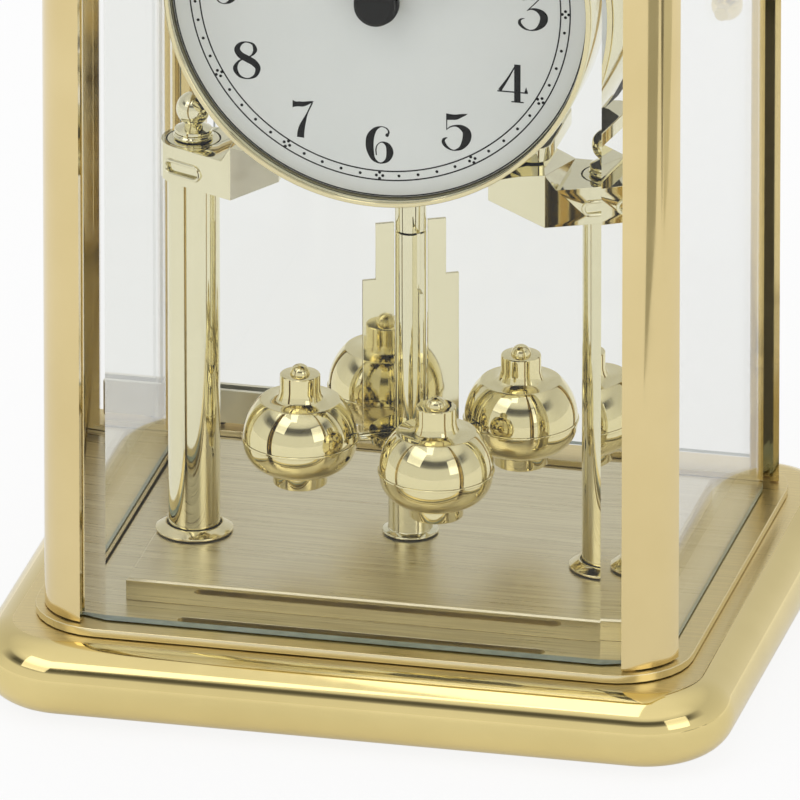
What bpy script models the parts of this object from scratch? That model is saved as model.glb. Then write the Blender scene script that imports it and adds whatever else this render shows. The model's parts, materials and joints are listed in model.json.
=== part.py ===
"""Four-glass anniversary clock: a brass case with glass on all sides, a battery movement
on two pillars, and a torsion-style pendulum of four balls that turns under it.

The frame is metres with +Z up, the front facing -Y, and the origin on the table under
the middle of the base."""

import math

import bmesh
import bpy
from mathutils import Matrix

# Case: overall sizes, and the clearance kept between pieces that touch
FIT_GAP = 0.0003
BASE_WIDTH = 0.152
BASE_DEPTH = 0.133
BASE_HEIGHT = 0.0156
BASE_CORNER = 0.018
CASE_WIDTH = 0.1286
CASE_DEPTH = 0.111
POST_WIDTH = 0.0098
POST_ROUND = 0.013
POST_LENGTH = 0.191
STEP_OVERHANG = 0.0018
STEP_HEIGHT = 0.0016
TOP_WIDTH = 0.148
TOP_DEPTH = 0.129
TOP_HEIGHT = 0.012
TOP_ROOF = 0.0035

# Base: hollow underside, cover, pads and the recess that takes the floor plate
BASE_WALL = 0.0045
BASE_COVER_THICKNESS = 0.0015
FOOT_RADIUS = 0.007
FOOT_THICKNESS = 0.0012
FOOT_INSET = 0.020
FLOOR_MARGIN = 0.0068
FLOOR_THICKNESS = 0.0015
FLOOR_RISE = 0.0006
SLOT_LENGTH = 0.074
SLOT_WIDTH = 0.0026
SLOT_SETBACK = 0.0042
PLATFORM_WIDTH = 0.0984
PLATFORM_DEPTH = 0.074
PLATFORM_HEIGHT = 0.0043
PLATFORM_EDGE = 0.0004

# Glass: three fixed panes with bevelled upright margins, held in grooves of the posts
PANE_THICKNESS = 0.0038
PANE_INSET = 0.0026
PANE_GROOVE = 0.0022
BEVEL_WIDTH = 0.0066
BEVEL_DROP = 0.0022
POST_LEG = 0.0085

# Rear door: a frameless pane in two pivot shoes, with a small pull knob
DOOR_GAP = 0.0006
DOOR_PANE_THICKNESS = 0.0025
SHOE_THICKNESS = 0.0050
SHOE_LENGTH = 0.0110
SHOE_HEIGHT = 0.0070
SHOE_FLOOR = 0.0012
SHOE_END_WALL = 0.0012
SHOE_PIN_RADIUS = 0.0009
SHOE_PIN_SEAT = 0.0011
KNOB_INSET = 0.0070
KNOB_RADIUS = 0.0032
KNOB_STEM_RADIUS = 0.0014
KNOB_STEM_LENGTH = 0.0022

# Pillars that carry the movement
PILLAR_SPACING = 0.0837
PILLAR_SETBACK = 0.0095
PILLAR_RADIUS = 0.00517
FLANGE_RADIUS = 0.0077
FLANGE_HEIGHT = 0.0014
FLANGE_LIP = 0.0004
FINIAL_RING_RADIUS = 0.0041
FINIAL_RING_HEIGHT = 0.0009
FINIAL_WAIST = 0.0016
FINIAL_NECK_HEIGHT = 0.0011
FINIAL_BALL_RADIUS = 0.0034
FINIAL_RING_SHARES = ((0.5, 2.0), (0.33, 1.5), (0.5, 1.0), (0.0, 0.5), (0.33, 0.0))

# Brackets: an ear round each pillar, a ramp up to a shelf, and a tip that rises along the drum
BRACKET_DROP = 0.0404
BRACKET_HEIGHT = 0.0078
BRACKET_EAR_RADIUS = 0.0064
BRACKET_RISE = 0.0033
BRACKET_REACH = 0.0102
BRACKET_FORWARD = 0.0118
BRACKET_RAMP = 0.0021
BRACKET_SHELF_RUN = 0.0048
BRACKET_TIP_RUN = 0.0106
BRACKET_TIP_FORWARD = 0.0035
BRACKET_TIP_RISE = 0.0063
BRACKET_TIP_DROP = 0.0008
BRACKET_SLOT_LENGTH = 0.0087
BRACKET_SLOT_HEIGHT = 0.0028
BRACKET_SLOT_DEPTH = 0.0005
BRACKET_SLOT_RISE = 0.0034
BRACKET_SLOT_DEGREES = -96.0
CRADLE_THICKNESS = 0.0030
CRADLE_HALF_WIDTH = 0.0310
CRADLE_FRONT = 0.0163
CRADLE_BACK = 0.0085

# Dial, bezel and hands
DIAL_RISE = 0.129
DIAL_FORWARD = 0.028
DIAL_RADIUS = 0.0417
DIAL_THICKNESS = 0.0008
DRUM_WALL = 0.0010
DRUM_BACK = 0.0165
BEZEL_FORWARD = 0.0311
BEZEL_THICKNESS = 0.0009
BEZEL_INNER_RADIUS = 0.0419
BEZEL_OUTER_RADIUS = 0.0428
BEZEL_CHAMFER = 0.0002
DIAL_NUT_RADIUS = 0.0042
DIAL_NUT_THICKNESS = 0.0012
HOUR_PIPE_RADIUS = 0.0021
MINUTE_ARBOR_RADIUS = 0.0011
HOUR_BOSS_RADIUS = 0.0045
HOUR_BOSS_THICKNESS = 0.0013
MINUTE_BOSS_RADIUS = 0.0041
MINUTE_BOSS_THICKNESS = 0.0019
HAND_THICKNESS = 0.0006
HOUR_HAND_LENGTH = 0.0235
MINUTE_HAND_LENGTH = 0.0345
HOUR_HAND_WIDTH = 0.0030
MINUTE_HAND_WIDTH = 0.0024
HAND_LEAF_SHARES = ((0.25, 0.0), (0.25, 0.13), (0.45, 0.55), (0.5, 0.68), (0.35, 0.84), (0.06, 1.0))
BOSS_FACE_SHARE = 0.8
BOSS_EDGE_SHARE = 0.3
HOUR_HAND_DEGREES = -55.0
MINUTE_HAND_DEGREES = 60.0
PIPE_DEPTH = 0.0030

# Movement: a housing with a battery pocket that is open at the back and has a cover
HOUSING_WIDTH = 0.060
HOUSING_HEIGHT = 0.0620
HOUSING_DEPTH = 0.0222
HOUSING_WALL = 0.0015
HOUSING_CORNER = 0.006
BATTERY_RADIUS = 0.00725
BATTERY_LENGTH = 0.050
BATTERY_NUB_RADIUS = 0.0027
BATTERY_NUB_LENGTH = 0.0015
BATTERY_CLEARANCE = 0.0005
BATTERY_RISE = 0.0165
COVER_MARGIN = 0.0018
COVER_THICKNESS = 0.0012
COVER_GRIP = 0.0009
COVER_GRIP_HEIGHT = 0.0022
SETTING_KNOB_RADIUS = 0.0062
SETTING_KNOB_THICKNESS = 0.0042
SETTING_STEM_RADIUS = 0.0016
SETTING_STEM_LENGTH = 0.0040
SETTING_TEETH = 18
SETTING_TOOTH = 0.0005

# Pendulum drive and pendulum
PENDULUM_SETBACK = 0.0010
DRIVE_WIDTH = 0.0240
DRIVE_DEPTH = 0.0220
DRIVE_HEIGHT = 0.0095
SLEEVE_RADIUS = 0.0031
SLEEVE_BORE = 0.0020
SLEEVE_BOTTOM = 0.0592
SPINDLE_RADIUS = 0.0012
SPINDLE_REACH = 0.0050
TUBE_RADIUS = 0.0031
PENDULUM_TURN_DEGREES = 26.0
BALL_COUNT = 4
BALL_RING_RADIUS = 0.02235
BALL_RISE = 0.0275
BALL_RADIUS = 0.0113
BALL_LIP = 0.00022
BALL_LIP_HEIGHT = 0.0005
BOWL_DEPTH = 0.0077
BOWL_FULLNESS = 2.5
BALL_FOOT_RADIUS = 0.0054
BALL_FOOT_DROP = 0.0096
SHOULDER_RADIUS = 0.0079
NECK_RADIUS = 0.0052
NECK_HEIGHT = 0.0022
NECK_FLARE_SHARES = ((0.0, 1.0), (0.14, 0.66), (0.42, 0.32), (1.0, 0.0))
CAP_RADIUS = 0.0040
CAP_HEIGHT = 0.0032
CAP_EDGE = 0.0003
BUTTON_RADIUS = 0.0020
FIN_THICKNESS = 0.0007
FIN_TOP = 0.0715
FIN_STEP = 0.0597
FIN_INNER_RADIUS = 0.0071
FIN_OUTER_RADIUS = 0.0097
HUB_RADIUS = 0.0084
HUB_THICKNESS = 0.0019
ARM_RADIUS = 0.0009
GUIDE_PIN_RADIUS = 0.0010
GUIDE_PIN_CLEARANCE = 0.0018
CUP_RADIUS = 0.0044
CUP_WALL = 0.0010
CUP_HEIGHT = 0.0085
CUP_FLANGE_RADIUS = 0.0056
CUP_FLANGE_HEIGHT = 0.0008

# Faceting of round pieces
ROUND_STEPS = 28
FINE_STEPS = 64
SMALL_STEPS = 18
ARM_STEPS = 10
CORNER_STEPS = 8
DOME_STEPS = 6
LOW_STEPS = 4
SMOOTH_DEGREES = 32.0

# The turn that lays a piece built along Z onto the Y axis, with its top facing the front
LAY_BACK = Matrix(((1, 0, 0), (0, 0, -1), (0, 1, 0)))

# Heights and depths that follow from the sizes above
BASE_TOP = FOOT_THICKNESS + BASE_HEIGHT
STEP_BOTTOM = BASE_TOP + FIT_GAP
STEP_TOP = STEP_BOTTOM + STEP_HEIGHT
POST_BOTTOM = STEP_TOP + FIT_GAP
POST_TOP = POST_BOTTOM + POST_LENGTH
UPPER_STEP_BOTTOM = POST_TOP + FIT_GAP
UPPER_STEP_TOP = UPPER_STEP_BOTTOM + STEP_HEIGHT
TOP_BOTTOM = UPPER_STEP_TOP + FIT_GAP
CASE_X = CASE_WIDTH / 2
CASE_Y = CASE_DEPTH / 2
STEP_X = CASE_X + STEP_OVERHANG
STEP_Y = CASE_Y + STEP_OVERHANG
STEP_CORNER = POST_ROUND + STEP_OVERHANG
WINDOW_X = CASE_X - FLOOR_MARGIN
WINDOW_Y = CASE_Y - FLOOR_MARGIN
FLOOR_TOP = BASE_TOP + FLOOR_RISE
FLOOR_BOTTOM = FLOOR_TOP - FLOOR_THICKNESS
PLATFORM_BOTTOM = FLOOR_TOP + FIT_GAP
PLATFORM_TOP = PLATFORM_BOTTOM + PLATFORM_HEIGHT
DIAL_Z = BASE_TOP + DIAL_RISE
PILLAR_X = PILLAR_SPACING / 2
PILLAR_Y = -PILLAR_SETBACK
EAR_TOP = DIAL_Z - BRACKET_DROP
EAR_BOTTOM = EAR_TOP - BRACKET_HEIGHT
BLOCK_TOP = EAR_TOP + BRACKET_RISE
CRADLE_BOTTOM = BLOCK_TOP + FIT_GAP
CRADLE_TOP = CRADLE_BOTTOM + CRADLE_THICKNESS
DIAL_BACK = -DIAL_FORWARD + DIAL_THICKNESS
DRUM_INNER_RADIUS = DIAL_RADIUS + FIT_GAP
DRUM_RADIUS = DRUM_INNER_RADIUS + DRUM_WALL
DRUM_FRONT = -BEZEL_FORWARD + BEZEL_THICKNESS + FIT_GAP
HOUSING_FRONT = -DRUM_BACK + FIT_GAP
HOUSING_BACK = HOUSING_FRONT + HOUSING_DEPTH
HOUSING_BOTTOM = CRADLE_TOP + FIT_GAP
HOUSING_Z = HOUSING_BOTTOM + HOUSING_HEIGHT / 2
PENDULUM_Y = -PENDULUM_SETBACK
DRIVE_TOP = CRADLE_BOTTOM - FIT_GAP
DRIVE_BOTTOM = DRIVE_TOP - DRIVE_HEIGHT
SLEEVE_END = DIAL_Z - SLEEVE_BOTTOM
TUBE_TOP = SLEEVE_END - FIT_GAP
BALL_Z = BASE_TOP + BALL_RISE
HUB_TOP = BALL_Z - FIT_GAP
HUB_BOTTOM = HUB_TOP - HUB_THICKNESS


def material(name, colour, roughness, metallic):
    made = bpy.data.materials.get(name)
    if made is None:
        made = bpy.data.materials.new(name)
        made.use_nodes = True
        shader = made.node_tree.nodes["Principled BSDF"]
        shader.inputs["Base Color"].default_value = (*colour, 1.0)
        shader.inputs["Roughness"].default_value = roughness
        shader.inputs["Metallic"].default_value = metallic
    return made


def polished_brass():
    return material("polished_brass", (0.80, 0.64, 0.30), 0.08, 1.0)


def brushed_brass():
    return material("brushed_brass", (0.72, 0.60, 0.34), 0.35, 1.0)


def pale_brass():
    return material("pale_brass", (0.82, 0.77, 0.55), 0.08, 1.0)


def clear_glass():
    glass = material("clear_glass", (0.94, 0.97, 0.95), 0.02, 0.0)
    glass.node_tree.nodes["Principled BSDF"].inputs["Transmission Weight"].default_value = 1.0
    return glass


def silvered_dial():
    return material("silvered_dial", (0.85, 0.86, 0.84), 0.40, 0.2)


def black_paint():
    return material("black_paint", (0.02, 0.02, 0.02), 0.35, 0.0)


def dark_plastic():
    return material("dark_plastic", (0.05, 0.05, 0.055), 0.45, 0.0)


def felt():
    return material("green_felt", (0.05, 0.10, 0.06), 0.95, 0.0)


def battery_jacket():
    return material("battery_jacket", (0.10, 0.11, 0.13), 0.35, 0.3)


def smooth(mesh):
    mesh.shade_smooth()
    mesh.set_sharp_from_angle(angle=math.radians(SMOOTH_DEGREES))


def add_object(name, bm, finish, place=(0, 0, 0), turn=(0, 0, 0), parent=None):
    """Finishes a bmesh as a named object, with its faces pointing out."""
    bmesh.ops.recalc_face_normals(bm, faces=bm.faces)
    mesh = bpy.data.meshes.new(name)
    bm.to_mesh(mesh)
    bm.free()
    smooth(mesh)
    mesh.materials.append(finish)
    return link_mesh(name, mesh, place, turn, parent)


def link_mesh(name, mesh, place=(0, 0, 0), turn=(0, 0, 0), parent=None):
    made = bpy.data.objects.new(name, mesh)
    made.location = place
    made.rotation_euler = turn
    made.parent = parent
    bpy.context.scene.collection.objects.link(made)
    return made


def add_pivot(name, place, turn=(0, 0, 0)):
    """An empty on a joint's axis, which the moving pieces hang from."""
    pivot = bpy.data.objects.new(name, None)
    pivot.location = place
    pivot.rotation_euler = turn
    bpy.context.scene.collection.objects.link(pivot)
    return pivot


def arc(centre, radius, start, end, steps):
    """Points on a circle from one angle to another, in degrees."""
    angles = [math.radians(start + (end - start) * i / steps) for i in range(steps + 1)]
    return [(centre[0] + radius * math.cos(a), centre[1] + radius * math.sin(a)) for a in angles]


def rounded_rectangle(half_x, half_y, radius, steps=CORNER_STEPS):
    """An outline counter-clockwise from the lower right corner."""
    points = []
    for sign_x, sign_y, start in ((1, -1, -90), (1, 1, 0), (-1, 1, 90), (-1, -1, 180)):
        centre = (sign_x * (half_x - radius), sign_y * (half_y - radius))
        points += arc(centre, radius, start, start + 90, steps)
    return points


def rectangle(half_x, half_y):
    return [(half_x, -half_y), (half_x, half_y), (-half_x, half_y), (-half_x, -half_y)]


def slab(outline, bottom, top):
    """The outline extruded along Z between two heights."""
    bm = bmesh.new()
    face = bm.faces.new([bm.verts.new((x, y, bottom)) for x, y in outline])
    lifted = bmesh.ops.extrude_face_region(bm, geom=[face])["geom"]
    moved = [v for v in lifted if isinstance(v, bmesh.types.BMVert)]
    bmesh.ops.translate(bm, verts=moved, vec=(0, 0, top - bottom))
    return bm


def bridged(rings):
    """A skin over rings of points that match one to one, capped at both ends."""
    bm = bmesh.new()
    loops = [[bm.verts.new(point) for point in ring] for ring in rings]
    count = len(loops[0])
    for lower, upper in zip(loops, loops[1:]):
        for i in range(count):
            j = (i + 1) % count
            bm.faces.new((lower[i], lower[j], upper[j], upper[i]))
    bm.faces.new(loops[0])
    bm.faces.new(loops[-1])
    return bm


def turned(outline, steps=ROUND_STEPS):
    """A turned piece: the (radius, height) outline spun about Z and closed on the axis."""
    bm = bmesh.new()
    verts = [bm.verts.new((r, 0, z)) for r, z in outline]
    edges = [bm.edges.new(pair) for pair in zip(verts, verts[1:])]
    if outline[0][0] > 0:
        edges.append(bm.edges.new((verts[-1], verts[0])))
    bmesh.ops.spin(bm, geom=verts + edges, cent=(0, 0, 0), axis=(0, 0, 1), dvec=(0, 0, 0),
                   angle=math.tau, steps=steps, use_merge=True)
    bmesh.ops.remove_doubles(bm, verts=bm.verts, dist=FIT_GAP / 1000)
    return bm


def cut(target, cutter):
    """Takes the cutter's volume from the target and keeps the cutter out of the render."""
    modifier = target.modifiers.new("cut_" + cutter.name, "BOOLEAN")
    modifier.operation = "DIFFERENCE"
    modifier.object = cutter
    cutter.hide_render = True
    cutter.display_type = "WIRE"


def join_shape(target, added):
    """Unites a helper's volume with the target."""
    modifier = target.modifiers.new("join_" + added.name, "BOOLEAN")
    modifier.operation = "UNION"
    modifier.object = added
    added.hide_render = True
    added.display_type = "WIRE"


def pad_rings(half_x, half_y, corner, profile):
    """Rings of a rounded-rectangle moulding; the profile gives (inset, height) pairs."""
    return [
        [(x, y, z) for x, y in rounded_rectangle(half_x - inset, half_y - inset, corner - inset)]
        for inset, z in profile
    ]


def bullnose(height, bottom):
    """(inset, height) pairs of a half-round nose, from the underside to the top."""
    nose = height / 2
    return [(nose - x, bottom + nose + z) for x, z in arc((0, 0), nose, -90, 90, 2 * CORNER_STEPS - 4)]


def build_base():
    bottom = FOOT_THICKNESS
    bm = bridged(pad_rings(BASE_WIDTH / 2, BASE_DEPTH / 2, BASE_CORNER, bullnose(BASE_HEIGHT, bottom)))
    base = add_object("base_moulding", bm, polished_brass())
    inset = BASE_HEIGHT / 2 + BASE_WALL
    half_x = BASE_WIDTH / 2 - inset
    half_y = BASE_DEPTH / 2 - inset
    corner = BASE_CORNER - inset
    roof = BASE_TOP - FLOOR_RISE - FLOOR_THICKNESS - BASE_WALL / 2
    hollow = slab(rounded_rectangle(half_x, half_y, corner), bottom - FIT_GAP, roof)
    cut(base, add_object("base_hollow", hollow, felt()))
    recess = slab(rectangle(WINDOW_X, WINDOW_Y), FLOOR_BOTTOM - FIT_GAP, BASE_TOP + FIT_GAP)
    cut(base, add_object("floor_recess", recess, felt()))
    cover = slab(rounded_rectangle(half_x - FIT_GAP, half_y - FIT_GAP, corner - FIT_GAP),
                 bottom, bottom + BASE_COVER_THICKNESS)
    add_object("base_cover", cover, brushed_brass())
    for i, (sign_x, sign_y) in enumerate(((-1, -1), (1, -1), (1, 1), (-1, 1))):
        pad = turned([(0, FOOT_THICKNESS - FIT_GAP), (FOOT_RADIUS, FOOT_THICKNESS - FIT_GAP),
                      (FOOT_RADIUS, 0), (0, 0)], SMALL_STEPS)
        place = (sign_x * (BASE_WIDTH / 2 - FOOT_INSET), sign_y * (BASE_DEPTH / 2 - FOOT_INSET), 0)
        add_object(f"felt_foot_{i + 1}", pad, felt(), place)


def step_frame(name, bottom, pin_x, pin_y):
    """The thin stepped frame between a moulding and the posts, with the hole for a door pivot."""
    outline = rounded_rectangle(STEP_X, STEP_Y, STEP_CORNER)
    frame = add_object(name, slab(outline, bottom, bottom + STEP_HEIGHT), polished_brass())
    window = slab(rectangle(WINDOW_X, WINDOW_Y), bottom - FIT_GAP, bottom + STEP_HEIGHT + FIT_GAP)
    cut(frame, add_object(name + "_window", window, felt()))
    bore_radius = SHOE_PIN_RADIUS + FIT_GAP
    reach = STEP_HEIGHT + FIT_GAP
    bore = turned([(0, reach), (bore_radius, reach), (bore_radius, -FIT_GAP), (0, -FIT_GAP)], SMALL_STEPS)
    cut(frame, add_object(name + "_pin_bore", bore, felt(), (pin_x, pin_y, bottom)))


def build_floor():
    half_x = WINDOW_X - FIT_GAP
    half_y = WINDOW_Y - FIT_GAP
    plate = slab(rectangle(half_x, half_y), FLOOR_BOTTOM, FLOOR_TOP)
    floor = add_object("floor_plate", plate, brushed_brass())
    slot = slab(rounded_rectangle(SLOT_LENGTH / 2, SLOT_WIDTH / 2, SLOT_WIDTH / 2 - FIT_GAP / 10, LOW_STEPS),
                FLOOR_BOTTOM - FIT_GAP, FLOOR_TOP + FIT_GAP)
    slot_y = -half_y + SLOT_SETBACK
    cut(floor, add_object("floor_slot", slot, felt(), (0, slot_y, 0)))
    edge = PLATFORM_EDGE
    half_x = PLATFORM_WIDTH / 2
    half_y = PLATFORM_DEPTH / 2
    rings = [
        [(x, y, z) for x, y in rectangle(half_x - inset, half_y - inset)]
        for inset, z in ((0, PLATFORM_BOTTOM), (0, PLATFORM_TOP - edge), (edge, PLATFORM_TOP))
    ]
    add_object("platform_block", bridged(rings), brushed_brass())


def post_outline(holds_front_pane):
    """The section of a post in its own corner: a round outside, a groove for each pane it holds."""
    width = POST_WIDTH
    round_off = POST_ROUND
    leg = POST_LEG
    near = PANE_INSET - FIT_GAP
    far = PANE_INSET + PANE_THICKNESS + FIT_GAP
    deep = width - PANE_GROOVE
    trim = math.degrees(math.asin((round_off - width) / round_off))
    outside = [(round_off - x, round_off - y)
               for x, y in arc((0, 0), round_off, trim, 90 - trim, CORNER_STEPS)]
    front_groove = [(width, near), (deep, near), (deep, far), (width, far)] if holds_front_pane else []
    side_groove = [(leg, width), (far, width), (far, deep), (near, deep), (near, width)]
    return outside + front_groove + [(width, leg), (leg, leg)] + side_groove


def build_posts():
    corners = (("post_front_left", -1, -1), ("post_front_right", 1, -1),
               ("post_rear_right", 1, 1), ("post_rear_left", -1, 1))
    for name, sign_x, sign_y in corners:
        outline = [(sign_x * (CASE_X - x), sign_y * (CASE_Y - y)) for x, y in post_outline(sign_y < 0)]
        add_object(name, slab(outline, POST_BOTTOM, POST_TOP), polished_brass())


def pane(name, half_width, place, turn):
    """A pane standing in its local XZ plane, its bevelled face towards local -Y."""
    half = half_width
    flat = half_width - BEVEL_WIDTH
    outline = [(-flat, 0), (flat, 0), (half, BEVEL_DROP), (half, PANE_THICKNESS),
               (-half, PANE_THICKNESS), (-half, BEVEL_DROP)]
    add_object(name, slab(outline, POST_BOTTOM, POST_TOP), clear_glass(), place, turn)


def build_panes():
    hold = POST_WIDTH - PANE_GROOVE + FIT_GAP
    pane("front_pane", CASE_X - hold, (0, -CASE_Y + PANE_INSET, 0), (0, 0, 0))
    pane("right_pane", CASE_Y - hold, (CASE_X - PANE_INSET, 0, 0), (0, 0, math.pi / 2))
    pane("left_pane", CASE_Y - hold, (-CASE_X + PANE_INSET, 0, 0), (0, 0, -math.pi / 2))


def door_axis():
    """Where the door's pivot line stands: half a shoe's thickness in from the post."""
    half = SHOE_THICKNESS / 2
    return -CASE_X + POST_WIDTH + DOOR_GAP + half, CASE_Y - half


def door_shoe(name, end, inward, pivot):
    """A brass shoe that grips the pane's corner, with the pin that turns in the step frame."""
    half = SHOE_THICKNESS / 2
    outline = arc((0, 0), half, 90, 270, CORNER_STEPS) + [(SHOE_LENGTH, -half), (SHOE_LENGTH, half)]
    heights = sorted((end, end + inward * SHOE_HEIGHT))
    shoe = add_object(name, slab(outline, *heights), polished_brass(), parent=pivot)
    groove_start = -half + SHOE_END_WALL
    groove_half = DOOR_PANE_THICKNESS / 2 + FIT_GAP
    past = SHOE_LENGTH + FIT_GAP
    groove = [(groove_start, -groove_half), (past, -groove_half), (past, groove_half),
              (groove_start, groove_half)]
    heights = sorted((end + inward * SHOE_FLOOR, end + inward * (SHOE_HEIGHT + FIT_GAP)))
    cut(shoe, add_object(name + "_groove", slab(groove, *heights), felt(), parent=pivot))
    heights = sorted((end - inward * (DOOR_GAP + FIT_GAP + SHOE_PIN_SEAT), end + inward * SHOE_FLOOR / 2))
    pin = turned([(0, heights[1]), (SHOE_PIN_RADIUS, heights[1]), (SHOE_PIN_RADIUS, heights[0]),
                  (0, heights[0])], SMALL_STEPS)
    join_shape(shoe, add_object(name + "_pin", pin, felt(), parent=pivot))


def build_door():
    axis_x, axis_y = door_axis()
    pivot = add_pivot("door_pivot", (axis_x, axis_y, 0))
    width = CASE_X - POST_WIDTH - DOOR_GAP - axis_x
    bottom = POST_BOTTOM + DOOR_GAP
    top = POST_TOP - DOOR_GAP
    door_shoe("door_shoe_lower", bottom, 1, pivot)
    door_shoe("door_shoe_upper", top, -1, pivot)
    half = DOOR_PANE_THICKNESS / 2
    left = -SHOE_THICKNESS / 2 + SHOE_END_WALL + FIT_GAP
    outline = [(left, -half), (width, -half), (width, half), (left, half)]
    seat = SHOE_FLOOR + FIT_GAP
    add_object("door_pane", slab(outline, bottom + seat, top - seat), clear_glass(), parent=pivot)
    ball = [(x, KNOB_STEM_LENGTH + KNOB_RADIUS + z)
            for x, z in arc((0, 0), KNOB_RADIUS, 90, -60, CORNER_STEPS)]
    knob = turned([(0, ball[0][1])] + ball[1:] + [(KNOB_STEM_RADIUS, KNOB_STEM_LENGTH),
                                                  (KNOB_STEM_RADIUS, 0), (0, 0)], SMALL_STEPS)
    place = (width - KNOB_INSET, half + FIT_GAP, (top + bottom) / 2)
    add_object("door_knob", knob, polished_brass(), place, (-math.pi / 2, 0, 0), pivot)


def build_top():
    rings = pad_rings(TOP_WIDTH / 2, TOP_DEPTH / 2, BASE_CORNER, bullnose(TOP_HEIGHT, TOP_BOTTOM))
    top = add_object("top_moulding", bridged(rings), polished_brass())
    recess = slab(rectangle(WINDOW_X, WINDOW_Y), TOP_BOTTOM - FIT_GAP, TOP_BOTTOM + TOP_HEIGHT - TOP_ROOF)
    cut(top, add_object("top_recess", recess, felt()))


def flange_outline():
    """A low cone round a pillar's foot, with the pillar's bore through it."""
    bore = PILLAR_RADIUS + FIT_GAP
    low = PLATFORM_TOP + FIT_GAP
    return [(bore, low + FLANGE_HEIGHT), (bore + FLANGE_LIP, low + FLANGE_HEIGHT),
            (FLANGE_RADIUS, low + FLANGE_LIP), (FLANGE_RADIUS, low), (bore, low)]


def finial_outline():
    """A stack of two rings, a narrow neck and a ball on top."""
    low = EAR_TOP + FIT_GAP
    ring = FINIAL_RING_RADIUS
    tall = FINIAL_RING_HEIGHT
    neck = low + 2 * tall + FINIAL_NECK_HEIGHT
    squeeze = math.degrees(math.asin(FINIAL_WAIST / FINIAL_BALL_RADIUS))
    centre = neck + FINIAL_BALL_RADIUS * math.cos(math.radians(squeeze))
    ball = arc((0, centre), FINIAL_BALL_RADIUS, 90, -90 + squeeze, CORNER_STEPS)
    rings = [(ring - tall * inward, low + tall * up) for inward, up in FINIAL_RING_SHARES]
    return [(0, centre + FINIAL_BALL_RADIUS)] + ball[1:] + rings + [(0, low)]


def build_pillars():
    low = PLATFORM_TOP + FIT_GAP
    for side, sign in (("left", -1), ("right", 1)):
        place = (sign * PILLAR_X, PILLAR_Y, 0)
        shaft = turned([(0, EAR_TOP), (PILLAR_RADIUS, EAR_TOP), (PILLAR_RADIUS, low), (0, low)])
        add_object("pillar_" + side, shaft, pale_brass(), place)
        add_object("pillar_flange_" + side, turned(flange_outline()), pale_brass(), place)
        add_object("finial_" + side, turned(finial_outline(), SMALL_STEPS + 2), pale_brass(), place)


def bracket_front():
    """Where the ear meets the bracket's flat front, as an angle about the pillar in degrees."""
    spread = math.hypot(BRACKET_REACH, BRACKET_FORWARD)
    lean = math.degrees(math.atan2(-BRACKET_FORWARD, BRACKET_REACH))
    return lean - math.degrees(math.acos(BRACKET_EAR_RADIUS / spread))


def along_front(share):
    """A point of the flat front, from its meeting with the ear at 0 to its corner at 1."""
    start = arc((0, 0), BRACKET_EAR_RADIUS, bracket_front(), 0, 1)[0]
    return (start[0] + (BRACKET_REACH - start[0]) * share,
            start[1] + (-BRACKET_FORWARD - start[1]) * share)


def bracket_mesh(sign):
    """An ear round the pillar, then a ramp up to a shelf whose far end thins to a tip under the drum.

    In the outline x grows towards the clock's middle and y towards the back."""
    ear = BRACKET_EAR_RADIUS
    start = along_front(0)
    foot_x = BRACKET_REACH - BRACKET_RAMP
    foot = along_front((foot_x - start[0]) / (BRACKET_REACH - start[0]))
    corner = (BRACKET_REACH, -BRACKET_FORWARD)
    tip = (BRACKET_REACH + BRACKET_TIP_RUN, -BRACKET_FORWARD - BRACKET_TIP_FORWARD)
    shelf = (BRACKET_REACH + BRACKET_SHELF_RUN,
             -BRACKET_FORWARD - BRACKET_TIP_FORWARD * BRACKET_SHELF_RUN / BRACKET_TIP_RUN)
    ear_edge = [(foot_x, ear)] + arc((0, 0), ear, 90, bracket_front() + 360, CORNER_STEPS + 2) + [foot]
    bm = bmesh.new()

    def raised(point, z):
        return bm.verts.new((-sign * point[0], point[1], z))

    low = [raised(point, EAR_BOTTOM) for point in ear_edge]
    high = [raised(point, EAR_TOP) for point in ear_edge]
    corner_low = raised(corner, EAR_BOTTOM)
    back_low = raised((BRACKET_REACH, ear), EAR_BOTTOM)
    corner_top = raised(corner, BLOCK_TOP)
    shelf_front = raised(shelf, BLOCK_TOP)
    shelf_back = raised((shelf[0], ear), BLOCK_TOP)
    tip_low = raised(tip, EAR_BOTTOM + BRACKET_TIP_RISE)
    tip_back_low = raised((tip[0], ear), EAR_BOTTOM + BRACKET_TIP_RISE)
    tip_top = raised(tip, BLOCK_TOP - BRACKET_TIP_DROP)
    tip_back_top = raised((tip[0], ear), BLOCK_TOP - BRACKET_TIP_DROP)
    for i in range(len(ear_edge) - 1):
        bm.faces.new((low[i], low[i + 1], high[i + 1], high[i]))
    bm.faces.new(high)
    bm.faces.new(low + [corner_low, back_low])
    bm.faces.new((low[-1], corner_low, corner_top, high[-1]))
    bm.faces.new((high[-1], corner_top, high[0]))
    bm.faces.new((corner_top, shelf_back, high[0]))
    bm.faces.new((corner_top, shelf_front, shelf_back))
    bm.faces.new((shelf_front, tip_top, tip_back_top, shelf_back))
    bm.faces.new((corner_low, tip_low, tip_top, shelf_front, corner_top))
    bm.faces.new((corner_low, back_low, tip_back_low, tip_low))
    bm.faces.new((tip_low, tip_back_low, tip_back_top, tip_top))
    bm.faces.new((low[0], high[0], shelf_back, tip_back_top, tip_back_low, back_low))
    return bm


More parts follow.
